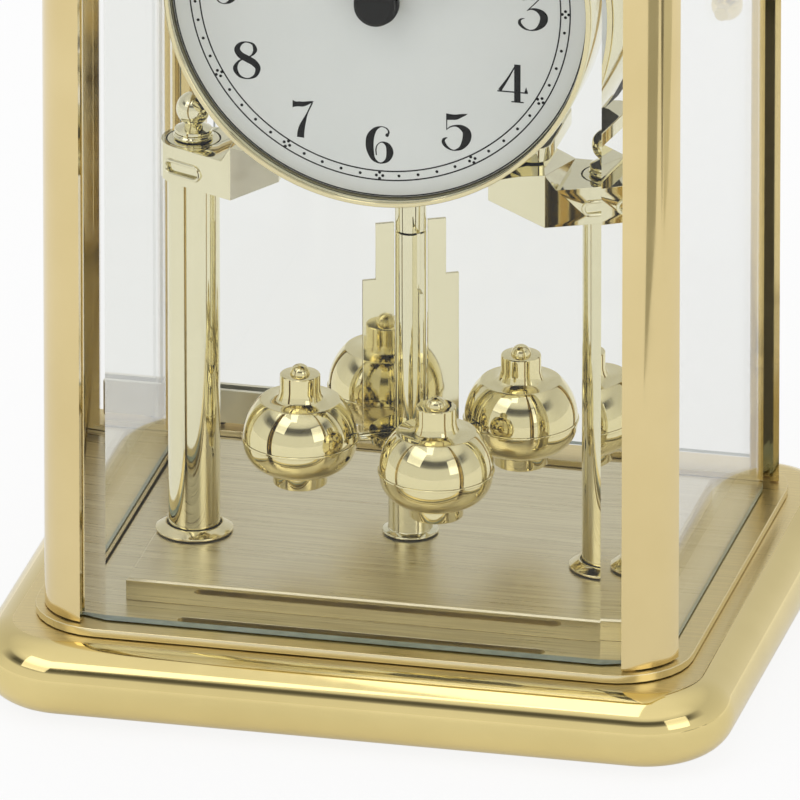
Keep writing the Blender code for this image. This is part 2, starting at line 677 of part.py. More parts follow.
def slot_mesh(sign):
    """A long oval sunk in the ear's face, which follows the round end and then the flat front."""
    ear = BRACKET_EAR_RADIUS
    half = BRACKET_SLOT_LENGTH / 2
    tall = BRACKET_SLOT_HEIGHT / 2
    front = bracket_front()
    middle = math.radians(BRACKET_SLOT_DEGREES - front) * ear
    rings = []
    for x, z in arc((0, 0), 1, 176, 4, 2 * CORNER_STEPS):
        run = half * x
        height = tall * min(1, z * half / tall)
        reach = middle + run
        angle = math.radians(front) + min(reach, 0) / ear
        along = max(reach, 0)
        out = (math.cos(angle), math.sin(angle))
        foot = (ear * out[0] - out[1] * along, ear * out[1] + out[0] * along)
        ring = []
        for side, lift in ((-BRACKET_SLOT_DEPTH, -1), (-BRACKET_SLOT_DEPTH, 1), (ear / 4, 1), (ear / 4, -1)):
            ring.append((-sign * (foot[0] + out[0] * side), foot[1] + out[1] * side,
                         EAR_BOTTOM + BRACKET_SLOT_RISE + lift * height))
        rings.append(ring)
    return bridged(rings)


def build_brackets():
    for side, sign in (("left", -1), ("right", 1)):
        place = (sign * PILLAR_X, PILLAR_Y, 0)
        bracket = add_object("bracket_" + side, bracket_mesh(sign), pale_brass(), place)
        cut(bracket, add_object("bracket_slot_" + side, slot_mesh(sign), felt(), place))
        bore_radius = PILLAR_RADIUS + FIT_GAP
        ends = (BLOCK_TOP, EAR_BOTTOM - FIT_GAP)
        bore = turned([(0, ends[0]), (bore_radius, ends[0]), (bore_radius, ends[1]), (0, ends[1])])
        cut(bracket, add_object("bracket_bore_" + side, bore, felt(), place))


def build_cradle():
    middle = (CRADLE_BACK - CRADLE_FRONT) / 2
    half_y = (CRADLE_BACK + CRADLE_FRONT) / 2
    outline = rounded_rectangle(CRADLE_HALF_WIDTH, half_y, BRACKET_RISE, LOW_STEPS)
    add_object("movement_cradle", slab(outline, CRADLE_BOTTOM, CRADLE_TOP), pale_brass(), (0, middle, 0))


def facing(outline, front, back):
    """An outline in XZ made a slab along Y, from its front to its back."""
    bm = slab(outline, -back, -front)
    bmesh.ops.rotate(bm, verts=bm.verts, cent=(0, 0, 0), matrix=LAY_BACK)
    return bm


def shaft_along_y(outline, steps=ROUND_STEPS):
    """A turned piece whose axis is Y; the outline gives (radius, y) from front to back."""
    bm = turned([(r, -y) for r, y in outline], steps)
    bmesh.ops.rotate(bm, verts=bm.verts, cent=(0, 0, 0), matrix=LAY_BACK)
    return bm


def build_housing():
    half_x = HOUSING_WIDTH / 2
    half_z = HOUSING_HEIGHT / 2
    outline = rounded_rectangle(half_x, half_z, HOUSING_CORNER, LOW_STEPS)
    place = (0, 0, HOUSING_Z)
    housing = add_object("movement_housing", facing(outline, HOUSING_FRONT, HOUSING_BACK),
                         dark_plastic(), place)
    past = HOUSING_BACK + FIT_GAP
    cell_x = BATTERY_LENGTH / 2 + BATTERY_NUB_LENGTH + BATTERY_CLEARANCE
    cell_z = BATTERY_RADIUS + BATTERY_CLEARANCE
    pocket = facing(rectangle(cell_x, cell_z), HOUSING_FRONT + HOUSING_WALL, past)
    cell_place = (0, 0, DIAL_Z + BATTERY_RISE)
    cut(housing, add_object("battery_pocket", pocket, felt(), cell_place))
    bore_radius = HOUR_PIPE_RADIUS + FIT_GAP
    bore = shaft_along_y([(0, HOUSING_FRONT - FIT_GAP), (bore_radius, HOUSING_FRONT - FIT_GAP),
                          (bore_radius, past), (0, past)], SMALL_STEPS)
    cut(housing, add_object("arbor_bore", bore, felt(), (0, 0, DIAL_Z)))

    cell_y = HOUSING_BACK - BATTERY_CLEARANCE - BATTERY_RADIUS
    can = BATTERY_LENGTH / 2
    cell = turned([(0, can + BATTERY_NUB_LENGTH), (BATTERY_NUB_RADIUS, can + BATTERY_NUB_LENGTH),
                   (BATTERY_NUB_RADIUS, can), (BATTERY_RADIUS, can), (BATTERY_RADIUS, -can), (0, -can)],
                  SMALL_STEPS)
    add_object("battery_cell", cell, battery_jacket(), (0, cell_y, DIAL_Z + BATTERY_RISE),
               (0, math.pi / 2, 0))

    low = HOUSING_BACK + FIT_GAP
    cover_x = cell_x + COVER_MARGIN
    cover_z = cell_z + COVER_MARGIN
    cover = add_object("battery_cover", facing(rectangle(cover_x, cover_z), low, low + COVER_THICKNESS),
                       dark_plastic(), cell_place)
    grip = facing(rectangle(cover_x / 2, COVER_GRIP_HEIGHT / 2), low + COVER_THICKNESS / 2,
                  low + COVER_THICKNESS + COVER_GRIP)
    join_shape(cover, add_object("battery_cover_grip", grip, felt(), cell_place))


def toothed_circle(radius, depth, teeth):
    """The outline of a knurled knob: points that step out and in around a circle."""
    points = []
    for i in range(2 * teeth):
        angle = math.pi * i / teeth
        reach = radius - depth * (i % 2)
        points.append((reach * math.cos(angle), reach * math.sin(angle)))
    return points


def build_setting_knob():
    low = HOUSING_BACK + FIT_GAP
    pivot = add_pivot("setting_pivot", (0, 0, DIAL_Z))
    wheel = facing(toothed_circle(SETTING_KNOB_RADIUS, SETTING_TOOTH, SETTING_TEETH),
                   low, low + SETTING_KNOB_THICKNESS)
    knob = add_object("setting_knob", wheel, dark_plastic(), parent=pivot)
    tip = low - SETTING_STEM_LENGTH
    stem = shaft_along_y([(0, tip), (SETTING_STEM_RADIUS, tip), (SETTING_STEM_RADIUS, low + FIT_GAP),
                          (0, low + FIT_GAP)], SMALL_STEPS)
    join_shape(knob, add_object("setting_stem", stem, felt(), parent=pivot))


def build_dial():
    front = -DIAL_FORWARD
    hole = HOUR_PIPE_RADIUS + FIT_GAP
    centre = (0, 0, DIAL_Z)
    disc = shaft_along_y([(hole, front), (DIAL_RADIUS, front), (DIAL_RADIUS, DIAL_BACK), (hole, DIAL_BACK)],
                         FINE_STEPS)
    add_object("dial", disc, silvered_dial(), centre)
    plate = DIAL_BACK + FIT_GAP
    inside = DRUM_RADIUS - DRUM_WALL
    drum = shaft_along_y([(inside, DRUM_FRONT), (DRUM_RADIUS, DRUM_FRONT), (DRUM_RADIUS, -DRUM_BACK),
                          (inside, -DRUM_BACK), (inside, plate + DRUM_WALL), (hole, plate + DRUM_WALL),
                          (hole, plate), (inside, plate)], FINE_STEPS)
    add_object("movement_drum", drum, pale_brass(), centre)
    ring_front = -BEZEL_FORWARD
    ring_back = ring_front + BEZEL_THICKNESS
    outer = BEZEL_OUTER_RADIUS
    ring = shaft_along_y([(BEZEL_INNER_RADIUS, ring_front), (outer - BEZEL_CHAMFER, ring_front),
                          (outer, ring_front + BEZEL_CHAMFER), (outer, ring_back),
                          (BEZEL_INNER_RADIUS, ring_back)], FINE_STEPS)
    add_object("bezel", ring, pale_brass(), centre)
    nut_front = front - FIT_GAP - DIAL_NUT_THICKNESS
    nut = shaft_along_y([(hole, nut_front), (DIAL_NUT_RADIUS, nut_front),
                         (DIAL_NUT_RADIUS, front - FIT_GAP), (hole, front - FIT_GAP)], SMALL_STEPS)
    add_object("dial_nut", nut, pale_brass(), centre)
    return nut_front


def hand_outline(length, width):
    """A slim leaf: narrow at the boss, widest past the middle, pointed at the tip."""
    side = [(width * out, length * along) for out, along in HAND_LEAF_SHARES]
    return side + [(-x, z) for x, z in reversed(side)]


def build_hand(name, degrees, front, boss, leaf_size, shaft, bore=0):
    """A hand on its boss, with the pipe or arbor behind it that turns it.

    boss is (radius, thickness), leaf_size is (length, width) and shaft is (radius, back end)."""
    boss_radius, boss_thickness = boss
    shaft_radius, shaft_back = shaft
    pivot = add_pivot(name + "_pivot", (0, 0, DIAL_Z), (0, math.radians(degrees), 0))
    back = front + boss_thickness
    if bore:
        body = [(bore, front), (boss_radius, front), (boss_radius, back), (shaft_radius, back),
                (shaft_radius, shaft_back), (bore, shaft_back)]
    else:
        body = [(0, front), (boss_radius * BOSS_FACE_SHARE, front),
                (boss_radius, front + boss_thickness * BOSS_EDGE_SHARE),
                (boss_radius, back), (shaft_radius, back), (shaft_radius, shaft_back), (0, shaft_back)]
    hand = add_object(name, shaft_along_y(body), black_paint(), parent=pivot)
    middle = (front + back) / 2
    blade = facing(hand_outline(*leaf_size), middle - HAND_THICKNESS / 2, middle + HAND_THICKNESS / 2)
    leaf = add_object(name + "_leaf", blade, black_paint(), parent=pivot)
    if bore:
        reach = boss_thickness
        clear = shaft_along_y([(0, front - reach), ((bore + boss_radius) / 2, front - reach),
                               ((bore + boss_radius) / 2, back + reach), (0, back + reach)], SMALL_STEPS)
        cut(leaf, add_object(name + "_clearance", clear, felt(), parent=pivot))
    join_shape(hand, leaf)


def build_hands(nut_front):
    pipe_back = HOUSING_FRONT + PIPE_DEPTH
    hour_front = nut_front - FIT_GAP - HOUR_BOSS_THICKNESS
    build_hand("hour_hand", HOUR_HAND_DEGREES, hour_front, (HOUR_BOSS_RADIUS, HOUR_BOSS_THICKNESS),
               (HOUR_HAND_LENGTH, HOUR_HAND_WIDTH), (HOUR_PIPE_RADIUS, pipe_back),
               MINUTE_ARBOR_RADIUS + FIT_GAP)
    minute_front = hour_front - FIT_GAP - MINUTE_BOSS_THICKNESS
    build_hand("minute_hand", MINUTE_HAND_DEGREES, minute_front,
               (MINUTE_BOSS_RADIUS, MINUTE_BOSS_THICKNESS), (MINUTE_HAND_LENGTH, MINUTE_HAND_WIDTH),
               (MINUTE_ARBOR_RADIUS, pipe_back + PIPE_DEPTH))


def build_drive():
    place = (0, PENDULUM_Y, 0)
    block = slab(rounded_rectangle(DRIVE_WIDTH / 2, DRIVE_DEPTH / 2, HOUSING_WALL, LOW_STEPS),
                 DRIVE_BOTTOM, DRIVE_TOP)
    drive = add_object("pendulum_drive", block, dark_plastic(), place)
    bore_radius = SPINDLE_RADIUS + FIT_GAP
    reach = DRIVE_BOTTOM + SPINDLE_REACH + FIT_GAP
    bore = turned([(0, reach), (bore_radius, reach), (bore_radius, DRIVE_BOTTOM - FIT_GAP),
                   (0, DRIVE_BOTTOM - FIT_GAP)], SMALL_STEPS)
    cut(drive, add_object("spindle_bore", bore, felt(), place))
    top = DRIVE_BOTTOM - FIT_GAP
    sleeve = turned([(SLEEVE_BORE, top), (SLEEVE_RADIUS, top), (SLEEVE_RADIUS, SLEEVE_END),
                     (SLEEVE_BORE, SLEEVE_END)])
    add_object("suspension_sleeve", sleeve, pale_brass(), place)


def ball_cap_outline():
    """The upper half of a ball: a dome cut flat at the shoulder, a flared neck, a cap and its button."""
    low = FIT_GAP / 2
    radius = BALL_RADIUS
    rise = math.degrees(math.acos(SHOULDER_RADIUS / radius))
    dome = arc((0, 0), radius, rise, 1, DOME_STEPS)
    shoulder = radius * math.sin(math.radians(rise))
    neck_top = shoulder + NECK_HEIGHT
    cap_top = neck_top + CAP_HEIGHT
    flare = [(CAP_RADIUS + (NECK_RADIUS - CAP_RADIUS) * out, shoulder + NECK_HEIGHT * up)
             for out, up in NECK_FLARE_SHARES]
    button = arc((0, cap_top), BUTTON_RADIUS, 90, 0, LOW_STEPS)
    cap = [(CAP_RADIUS - CAP_EDGE, cap_top), (CAP_RADIUS, cap_top - CAP_EDGE)]
    seam = [(radius - FIT_GAP, low), (0, low)]
    return [(0, cap_top + BUTTON_RADIUS)] + button[1:] + cap + flare + dome + seam


def ball_bowl_outline():
    """The lower half of a ball: a lip at the seam, a full flattened bowl and a short round foot.

    The bowl is an ellipse whose sine and cosine are raised to 2 / BOWL_FULLNESS, so it stays
    round at the sides and flattens underneath."""
    high = -FIT_GAP / 2
    power = 2 / BOWL_FULLNESS
    last = math.acos((BALL_FOOT_RADIUS / BALL_RADIUS) ** (1 / power))
    angles = [last * (i + 1) / CORNER_STEPS for i in range(CORNER_STEPS)]
    bowl = [(BALL_RADIUS * math.cos(a) ** power, -BOWL_DEPTH * math.sin(a) ** power) for a in angles]
    lip = BALL_RADIUS + BALL_LIP
    under = high - BALL_LIP_HEIGHT
    return [(0, high), (lip, high), (lip, under), (BALL_RADIUS, under)] + bowl + [
        (BALL_FOOT_RADIUS, -BALL_FOOT_DROP), (0, -BALL_FOOT_DROP)]


def fin_outline():
    """A fin's stepped edge, as (radius, height) about the pendulum's axis."""
    inner = TUBE_RADIUS + FIT_GAP
    low = HUB_TOP + FIT_GAP
    return [(inner, low), (FIN_OUTER_RADIUS, low), (FIN_OUTER_RADIUS, BASE_TOP + FIN_STEP),
            (FIN_INNER_RADIUS, BASE_TOP + FIN_STEP), (FIN_INNER_RADIUS, BASE_TOP + FIN_TOP),
            (inner, BASE_TOP + FIN_TOP)]


def build_pendulum():
    turn = math.radians(PENDULUM_TURN_DEGREES)
    pivot = add_pivot("pendulum_pivot", (0, PENDULUM_Y, 0), (0, 0, turn))
    spindle_top = DRIVE_BOTTOM + SPINDLE_REACH
    tube = turned([(0, spindle_top), (SPINDLE_RADIUS, spindle_top), (SPINDLE_RADIUS, TUBE_TOP),
                   (TUBE_RADIUS, TUBE_TOP), (TUBE_RADIUS, HUB_TOP + FIT_GAP), (0, HUB_TOP + FIT_GAP)])
    add_object("pendulum_tube", tube, pale_brass(), parent=pivot)

    pin_bottom = PLATFORM_TOP + FIT_GAP + GUIDE_PIN_CLEARANCE
    hub_outline = [(0, HUB_TOP), (HUB_RADIUS, HUB_TOP), (HUB_RADIUS, HUB_BOTTOM),
                   (GUIDE_PIN_RADIUS, HUB_BOTTOM), (GUIDE_PIN_RADIUS, pin_bottom), (0, pin_bottom)]
    hub = add_object("pendulum_hub", turned(hub_outline), pale_brass(), parent=pivot)
    arm_z = (HUB_TOP + HUB_BOTTOM) / 2
    lip = BALL_RADIUS + BALL_LIP
    arm_end = BALL_RING_RADIUS - lip - FIT_GAP
    arm_start = HUB_RADIUS / 2
    blade = fin_outline()
    cap_mesh = None
    bowl_mesh = None
    fin_mesh = None
    for i in range(BALL_COUNT):
        angle = math.tau * i / BALL_COUNT
        ray = (math.cos(angle), math.sin(angle))
        rod = turned([(0, arm_end), (ARM_RADIUS, arm_end), (ARM_RADIUS, arm_start), (0, arm_start)],
                     ARM_STEPS)
        join_shape(hub, add_object(f"pendulum_arm_{i + 1}", rod, felt(), (0, 0, arm_z),
                                   (0, math.pi / 2, angle), pivot))
        place = (BALL_RING_RADIUS * ray[0], BALL_RING_RADIUS * ray[1], BALL_Z)
        if i == 0:
            cap_mesh = add_object("ball_cap_1", turned(ball_cap_outline()), pale_brass(), place,
                                  parent=pivot).data
            bowl_mesh = add_object("ball_bowl_1", turned(ball_bowl_outline()), pale_brass(), place,
                                   parent=pivot).data
            fin = facing(blade, -FIN_THICKNESS / 2, FIN_THICKNESS / 2)
            fin_mesh = add_object("fin_1", fin, pale_brass(), turn=(0, 0, angle), parent=pivot).data
        else:
            link_mesh(f"ball_cap_{i + 1}", cap_mesh, place, parent=pivot)
            link_mesh(f"ball_bowl_{i + 1}", bowl_mesh, place, parent=pivot)
            link_mesh(f"fin_{i + 1}", fin_mesh, turn=(0, 0, angle), parent=pivot)


def build_guide_cup():
    low = PLATFORM_TOP + FIT_GAP
    inner = CUP_RADIUS - CUP_WALL
    floor = low + CUP_WALL
    outline = [(0, floor), (inner, floor), (inner, low + CUP_HEIGHT), (CUP_RADIUS, low + CUP_HEIGHT),
               (CUP_RADIUS, low + CUP_FLANGE_HEIGHT), (CUP_FLANGE_RADIUS, low + CUP_FLANGE_HEIGHT / 2),
               (CUP_FLANGE_RADIUS, low), (0, low)]
    add_object("guide_cup", turned(outline), pale_brass(), (0, PENDULUM_Y, 0))


def main():
    for old in list(bpy.data.objects):
        bpy.data.objects.remove(old, do_unlink=True)
    build_base()
    pin_x, pin_y = door_axis()
    step_frame("step_frame_lower", STEP_BOTTOM, pin_x, pin_y)
    step_frame("step_frame_upper", UPPER_STEP_BOTTOM, pin_x, pin_y)
    build_floor()
    build_posts()
    build_panes()
    build_door()
    build_top()
    build_pillars()
    build_brackets()
    build_cradle()
    build_housing()
    build_setting_knob()
    build_hands(build_dial())
    build_drive()
    build_pendulum()
    build_guide_cup()


main()
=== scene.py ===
# %% [markdown]
# # A glass-sided anniversary clock
# The clock is a brass box with glass on every side. A round dial stands on two pillars inside it,
# and under the dial a pendulum of four brass balls turns slowly about the vertical. The frame that
# is loaded here has every piece at its real place and size, in metres, with the front towards -Y.
# Each cell adds or finishes one thing, and says what that thing is on the real clock.

# %% Load the frame
import json
import math

import bmesh
import bpy
import numpy as np
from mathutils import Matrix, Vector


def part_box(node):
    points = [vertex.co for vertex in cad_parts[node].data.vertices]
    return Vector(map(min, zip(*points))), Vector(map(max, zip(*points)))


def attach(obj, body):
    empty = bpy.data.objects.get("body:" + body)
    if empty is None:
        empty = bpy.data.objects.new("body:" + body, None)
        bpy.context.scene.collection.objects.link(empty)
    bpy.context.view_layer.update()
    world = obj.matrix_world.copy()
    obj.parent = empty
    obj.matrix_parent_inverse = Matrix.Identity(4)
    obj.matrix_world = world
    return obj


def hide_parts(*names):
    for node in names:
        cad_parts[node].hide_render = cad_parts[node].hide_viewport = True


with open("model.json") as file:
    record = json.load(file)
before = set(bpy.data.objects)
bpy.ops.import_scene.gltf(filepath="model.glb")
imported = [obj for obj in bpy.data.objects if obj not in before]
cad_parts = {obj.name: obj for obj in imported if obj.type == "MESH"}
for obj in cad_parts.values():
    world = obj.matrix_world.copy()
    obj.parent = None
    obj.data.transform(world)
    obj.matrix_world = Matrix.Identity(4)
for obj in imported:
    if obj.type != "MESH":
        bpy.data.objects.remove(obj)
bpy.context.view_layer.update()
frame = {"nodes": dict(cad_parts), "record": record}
print("nodes in the frame:", len(frame["nodes"]))

# %% [markdown]
# ## The camera
# The photograph looks down on the clock from a little to the right, from far away, so upright
# edges stay parallel. A long lens far from the object does the same in Blender.

# %% Camera
picture_pixels, lens_pixels, sensor_mm = 800, 32934, 36
look_down, look_left = 22.55, 13.04
to_the_right, to_the_front, above_base = 1.3512, 5.8458, 2.5236
base_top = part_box("base_moulding")[1][2]
camera_data = bpy.data.cameras.new("camera")
camera_data.sensor_width = sensor_mm
camera_data.lens = lens_pixels * sensor_mm / picture_pixels
camera_data.clip_end = 100
camera = bpy.data.objects.new("camera", camera_data)
camera.location = (to_the_right, -to_the_front, above_base + base_top)
camera.rotation_euler = (math.radians(90 - look_down), 0, math.radians(look_left))
bpy.context.scene.collection.objects.link(camera)
bpy.context.scene.camera = camera
print("camera lens in mm:", round(camera_data.lens))

# %% [markdown]
# ## Helpers for surfaces
# Nearly every piece of a clock is turned on a lathe or drawn out along a line, so a surface is a
# grid of points: one direction runs along a profile, the other round an axis or along a length.
# The points are worked out as whole arrays, and neighbours are joined into four-sided faces.

# %% Grid of faces
merge_distance = 0.000002
flat_angle = math.radians(0.3)


def grid_faces(rows, columns):
    """Corner numbers of the faces between neighbours, where the last column joins the first."""
    r, c = np.meshgrid(np.arange(rows - 1), np.arange(columns), indexing="ij")
    d = (c + 1) % columns
    corners = (r * columns + c, r * columns + d, (r + 1) * columns + d, (r + 1) * columns + c)
    return np.stack(corners, -1).reshape(-1, 4)


def finish_piece(name, mesh, material, body, nodes=(), sharp=30, bevel=0.0):
    """Merges doubles and flats, points faces outwards, smooths round faces, and gives it a body."""
    bm = bmesh.new()
    bm.from_mesh(mesh)
    bmesh.ops.remove_doubles(bm, verts=bm.verts, dist=merge_distance)
    bmesh.ops.dissolve_degenerate(bm, edges=bm.edges, dist=merge_distance / 2)
    bmesh.ops.dissolve_limit(bm, angle_limit=flat_angle, verts=bm.verts, edges=bm.edges)
    bmesh.ops.recalc_face_normals(bm, faces=bm.faces)
    bm.to_mesh(mesh)
    bm.free()
    mesh.shade_smooth()
    mesh.set_sharp_from_angle(angle=math.radians(sharp))
    mesh.materials.clear()
    mesh.materials.append(material)
    piece = bpy.data.objects.new(name, mesh)
    bpy.context.scene.collection.objects.link(piece)
    if bevel:
        edge = piece.modifiers.new("eased_edges", "BEVEL")
        edge.width = bevel
        edge.segments = 2
        edge.limit_method = "ANGLE"
        edge.angle_limit = math.radians(sharp)
        edge.harden_normals = True
    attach(piece, body)
    if nodes:
        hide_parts(*nodes)
    return piece


def surface(name, points, faces, material, body, nodes=(), sharp=30):
    """A piece from arrays of points and a list of faces."""
    mesh = bpy.data.meshes.new(name)
    mesh.from_pydata(np.asarray(points).reshape(-1, 3).tolist(), [], [list(face) for face in faces])
    return finish_piece(name, mesh, material, body, nodes, sharp)


def skin(name, rings, material, body, nodes=(), capped=True, sharp=30):
    """A skin over rings of as many points each; capped closes the first and the last ring."""
    points = np.asarray(rings)
    rows, columns = points.shape[:2]
    faces = grid_faces(rows, columns).tolist()
    if capped:
        faces += [list(range(columns))[::-1], list(range((rows - 1) * columns, rows * columns))]
    return surface(name, points, faces, material, body, nodes, sharp)


print("grid of 3 by 4 points, wrapped:", len(grid_faces(3, 4)), "faces")

# %% Profiles
def arc(centre, radius, start, end, steps):
    """Points on a circle: centre + radius * (cos a, sin a), with a from start to end in degrees."""
    a = np.radians(np.linspace(start, end, steps + 1))
    return np.stack([centre[0] + radius * np.cos(a), centre[1] + radius * np.sin(a)], -1)


def joined(*parts):
    """Profile points one after another in one array."""
    return np.concatenate([np.atleast_2d(np.asarray(part, float)) for part in parts])


def eased(profile, radius, steps=4, closed=False):
    """Rounds each sharp corner with a parabola from a point before the corner to one after it."""
    straight_on, longest_share, tiny = -0.9, 0.45, 1e-12
    p = np.asarray(profile, float)
    before, after = np.roll(p, 1, 0) - p, np.roll(p, -1, 0) - p
    a, b = np.linalg.norm(before, axis=1), np.linalg.norm(after, axis=1)
    turn = np.sum(before * after, 1) / np.maximum(a * b, tiny)
    reach = np.where(turn > straight_on, np.minimum(radius, np.minimum(a, b) * longest_share), 0)
    if not closed:
        reach[[0, -1]] = 0
    t = np.linspace(0, 1, steps)[None, :, None]
    start = p + before / np.maximum(a, tiny)[:, None] * reach[:, None]
    end = p + after / np.maximum(b, tiny)[:, None] * reach[:, None]
    curve = (1 - t) ** 2 * start[:, None] + 2 * t * (1 - t) * p[:, None] + t ** 2 * end[:, None]
    rows = [curve[i] if reach[i] > 0 else p[i:i + 1] for i in range(len(p))]
    return np.concatenate(rows)


def lathe(profile, centre, axis="z", steps=96):
    """Points of a turned surface: (r cos a, r sin a, h) for each (r, h), with h along the axis."""
    profile = np.asarray(profile, float)
    a = np.linspace(0, 2 * np.pi, steps, endpoint=False)
    r, h = profile[:, :1], profile[:, 1:]
    x, y, z = r * np.cos(a), r * np.sin(a), h + 0 * a
    points = np.stack([x, y, z] if axis == "z" else [x, z, y], -1)
    return points + np.asarray(centre, float)


def turned_piece(name, profile, centre, material, body, nodes=(), axis="z", steps=96, ring=False):
    """A lathe surface as a piece. A ring's profile is closed, any other begins and ends on the axis."""
    if ring:
        profile = joined(profile, profile[:1])
    return skin(name, lathe(profile, centre, axis, steps), material, body, nodes, capped=False)


def rounded(half_x, half_y, corner, z, steps=20):
    """A rectangle with round corners at one height, with as many points for any corner radius."""
    signs = np.array([(1, -1), (1, 1), (-1, 1), (-1, -1)], float)
    starts = np.array([-90, 0, 90, 180], float)
    a = np.radians(starts[:, None] + np.linspace(0, 90, steps + 1))
    centre = signs * (half_x - corner, half_y - corner)
    x = centre[:, :1] + corner * np.cos(a)
    y = centre[:, 1:] + corner * np.sin(a)
    return np.stack([x, y, z + 0 * a], -1).reshape(-1, 3)


def middle(node):
    """The centre of a node's box."""
    low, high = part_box(node)
    return (np.array(low) + np.array(high)) / 2


def fine_copy(node, material, body, sharp=30, bevel=0.0):
    """A copy of a node with its loose triangles merged, so that round faces shade smoothly."""
    mesh = frame["nodes"][node].data.copy()
    return finish_piece("fine_" + node, mesh, material, body, (node,), sharp, bevel)


def second_finish(piece, material, test):
    """Gives another material to the faces whose normals, rows of x, y and z, pass the test."""
    mesh = piece.data
    normals = np.zeros(len(mesh.polygons) * 3)
    mesh.polygons.foreach_get("normal", normals)
    chosen = test(normals.reshape(-1, 3))
    mesh.materials.append(material)
    mesh.polygons.foreach_set("material_index", chosen.astype(np.int32))
    mesh.update()


print("an eased square has", len(eased([(0, 0), (1, 0), (1, 1), (0, 1)], 0.1, closed=True)), "points")

# %% [markdown]
# ## Finishes
# The case is lacquered brass, polished to a mirror on its round edges and brushed on its flats.
# The works inside are plated in a paler, more silvery brass. A metal's colour in Blender is the
# tint of its reflections, so a little noise in the tint, in the gloss and in the surface keeps it
# from looking like plain plastic, and a thin clear coat stands for the lacquer.

# %% Shader helpers
def shader(name, colour, roughness, metallic=0.0):
    """A new material, its nodes and links, and its Principled shader with plain values set."""
    made = bpy.data.materials.new(name)
    made.use_nodes = True
    nodes = made.node_tree.nodes
    principled = nodes["Principled BSDF"]
    principled.inputs["Base Color"].default_value = (*colour, 1)
    principled.inputs["Roughness"].default_value = roughness
    principled.inputs["Metallic"].default_value = metallic
    return made, nodes, made.node_tree.links, principled


def noise(nodes, links, scale, stretch=(1, 1, 1), detail=4.0):
    """Noise on Object coordinates, in patches about 1 / scale metres wide.

    The patches are drawn out along an axis whose stretch value is small."""
    place = nodes.new("ShaderNodeTexCoord")
    mapping = nodes.new("ShaderNodeMapping")
    mapping.inputs["Scale"].default_value = stretch
    made = nodes.new("ShaderNodeTexNoise")
    made.inputs["Scale"].default_value = scale
    made.inputs["Detail"].default_value = detail
    links.new(place.outputs["Object"], mapping.inputs["Vector"])
    links.new(mapping.outputs["Vector"], made.inputs["Vector"])
    return made.outputs["Fac"]


def spread(nodes, links, value, low, high, start=0.3, end=0.7):
    """Maps a value from start to end, where most of a noise lies, onto low to high."""
    made = nodes.new("ShaderNodeMapRange")
    made.inputs["From Min"].default_value = start
    made.inputs["From Max"].default_value = end
    made.inputs["To Min"].default_value = low
    made.inputs["To Max"].default_value = high
    links.new(value, made.inputs["Value"])
    return made.outputs["Result"]


def tint(nodes, links, value, dark, light):
    """Blends two colours by a value from 0 to 1."""
    made = nodes.new("ShaderNodeMix")
    made.data_type = "RGBA"
    made.inputs[6].default_value = (*dark, 1)
    made.inputs[7].default_value = (*light, 1)
    links.new(value, made.inputs["Factor"])
    return made.outputs[2]


def relief(nodes, links, principled, value, distance, strength):
    """Bump from a value, with a real height in metres."""
    made = nodes.new("ShaderNodeBump")
    made.inputs["Distance"].default_value = distance
    made.inputs["Strength"].default_value = strength
    links.new(value, made.inputs["Height"])
    links.new(made.outputs["Normal"], principled.inputs["Normal"])


def calculate(nodes, links, operation, first, second):
    """A value put together from two others; the second may be a plain number."""
    made = nodes.new("ShaderNodeMath")
    made.operation = operation
    links.new(first, made.inputs[0])
    if isinstance(second, float):
        made.inputs[1].default_value = second
    else:
        links.new(second, made.inputs[1])
    return made.outputs[0]


def switch_shader(nodes, links, share, principled, other):
    """Blends from the Principled shader, where share is 0, to the other one, where share is 1."""
    mix = nodes.new("ShaderNodeMixShader")
    links.new(share, mix.inputs[0])
    links.new(principled.outputs[0], mix.inputs[1])
    links.new(other.outputs[0], mix.inputs[2])
    links.new(mix.outputs[0], nodes["Material Output"].inputs["Surface"])


def polished(name, dark, light, roughness, coat=0.25):
    """Mirror metal: a little cloud in its tint and gloss, a faint ripple, and a coat of lacquer."""
    cloud_scale, gloss_scale, lacquer_roughness = 40, 220, 0.04
    ripple_scale, ripple_height, ripple_strength = 45, 0.00002, 0.2
    made, nodes, links, principled = shader(name, light, roughness, 1.0)
    cloud = spread(nodes, links, noise(nodes, links, cloud_scale), 0, 1)
    links.new(tint(nodes, links, cloud, dark, light), principled.inputs["Base Color"])
    gloss = spread(nodes, links, noise(nodes, links, gloss_scale), roughness * 0.7, roughness * 1.4)
    links.new(gloss, principled.inputs["Roughness"])
    ripple = noise(nodes, links, ripple_scale, detail=1.0)
    relief(nodes, links, principled, ripple, ripple_height, ripple_strength)
    principled.inputs["Coat Weight"].default_value = coat
    principled.inputs["Coat Roughness"].default_value = lacquer_roughness
    return made


def brushed(name, dark, light, roughness, stretch):
    """Metal with fine scratches along the axis whose stretch value is small."""
    scratch_scale, scratch_height, coat, coat_roughness = 2200, 0.00001, 0.15, 0.15
    made, nodes, links, principled = shader(name, light, roughness, 1.0)
    scratch = noise(nodes, links, scratch_scale, stretch, detail=6.0)
    tone = spread(nodes, links, scratch, 0, 1)
    links.new(tint(nodes, links, tone, dark, light), principled.inputs["Base Color"])
    gloss = spread(nodes, links, scratch, roughness * 0.8, roughness * 1.25)
    links.new(gloss, principled.inputs["Roughness"])
    relief(nodes, links, principled, scratch, scratch_height, 0.5)
    principled.inputs["Coat Weight"].default_value = coat
    principled.inputs["Coat Roughness"].default_value = coat_roughness
    return made


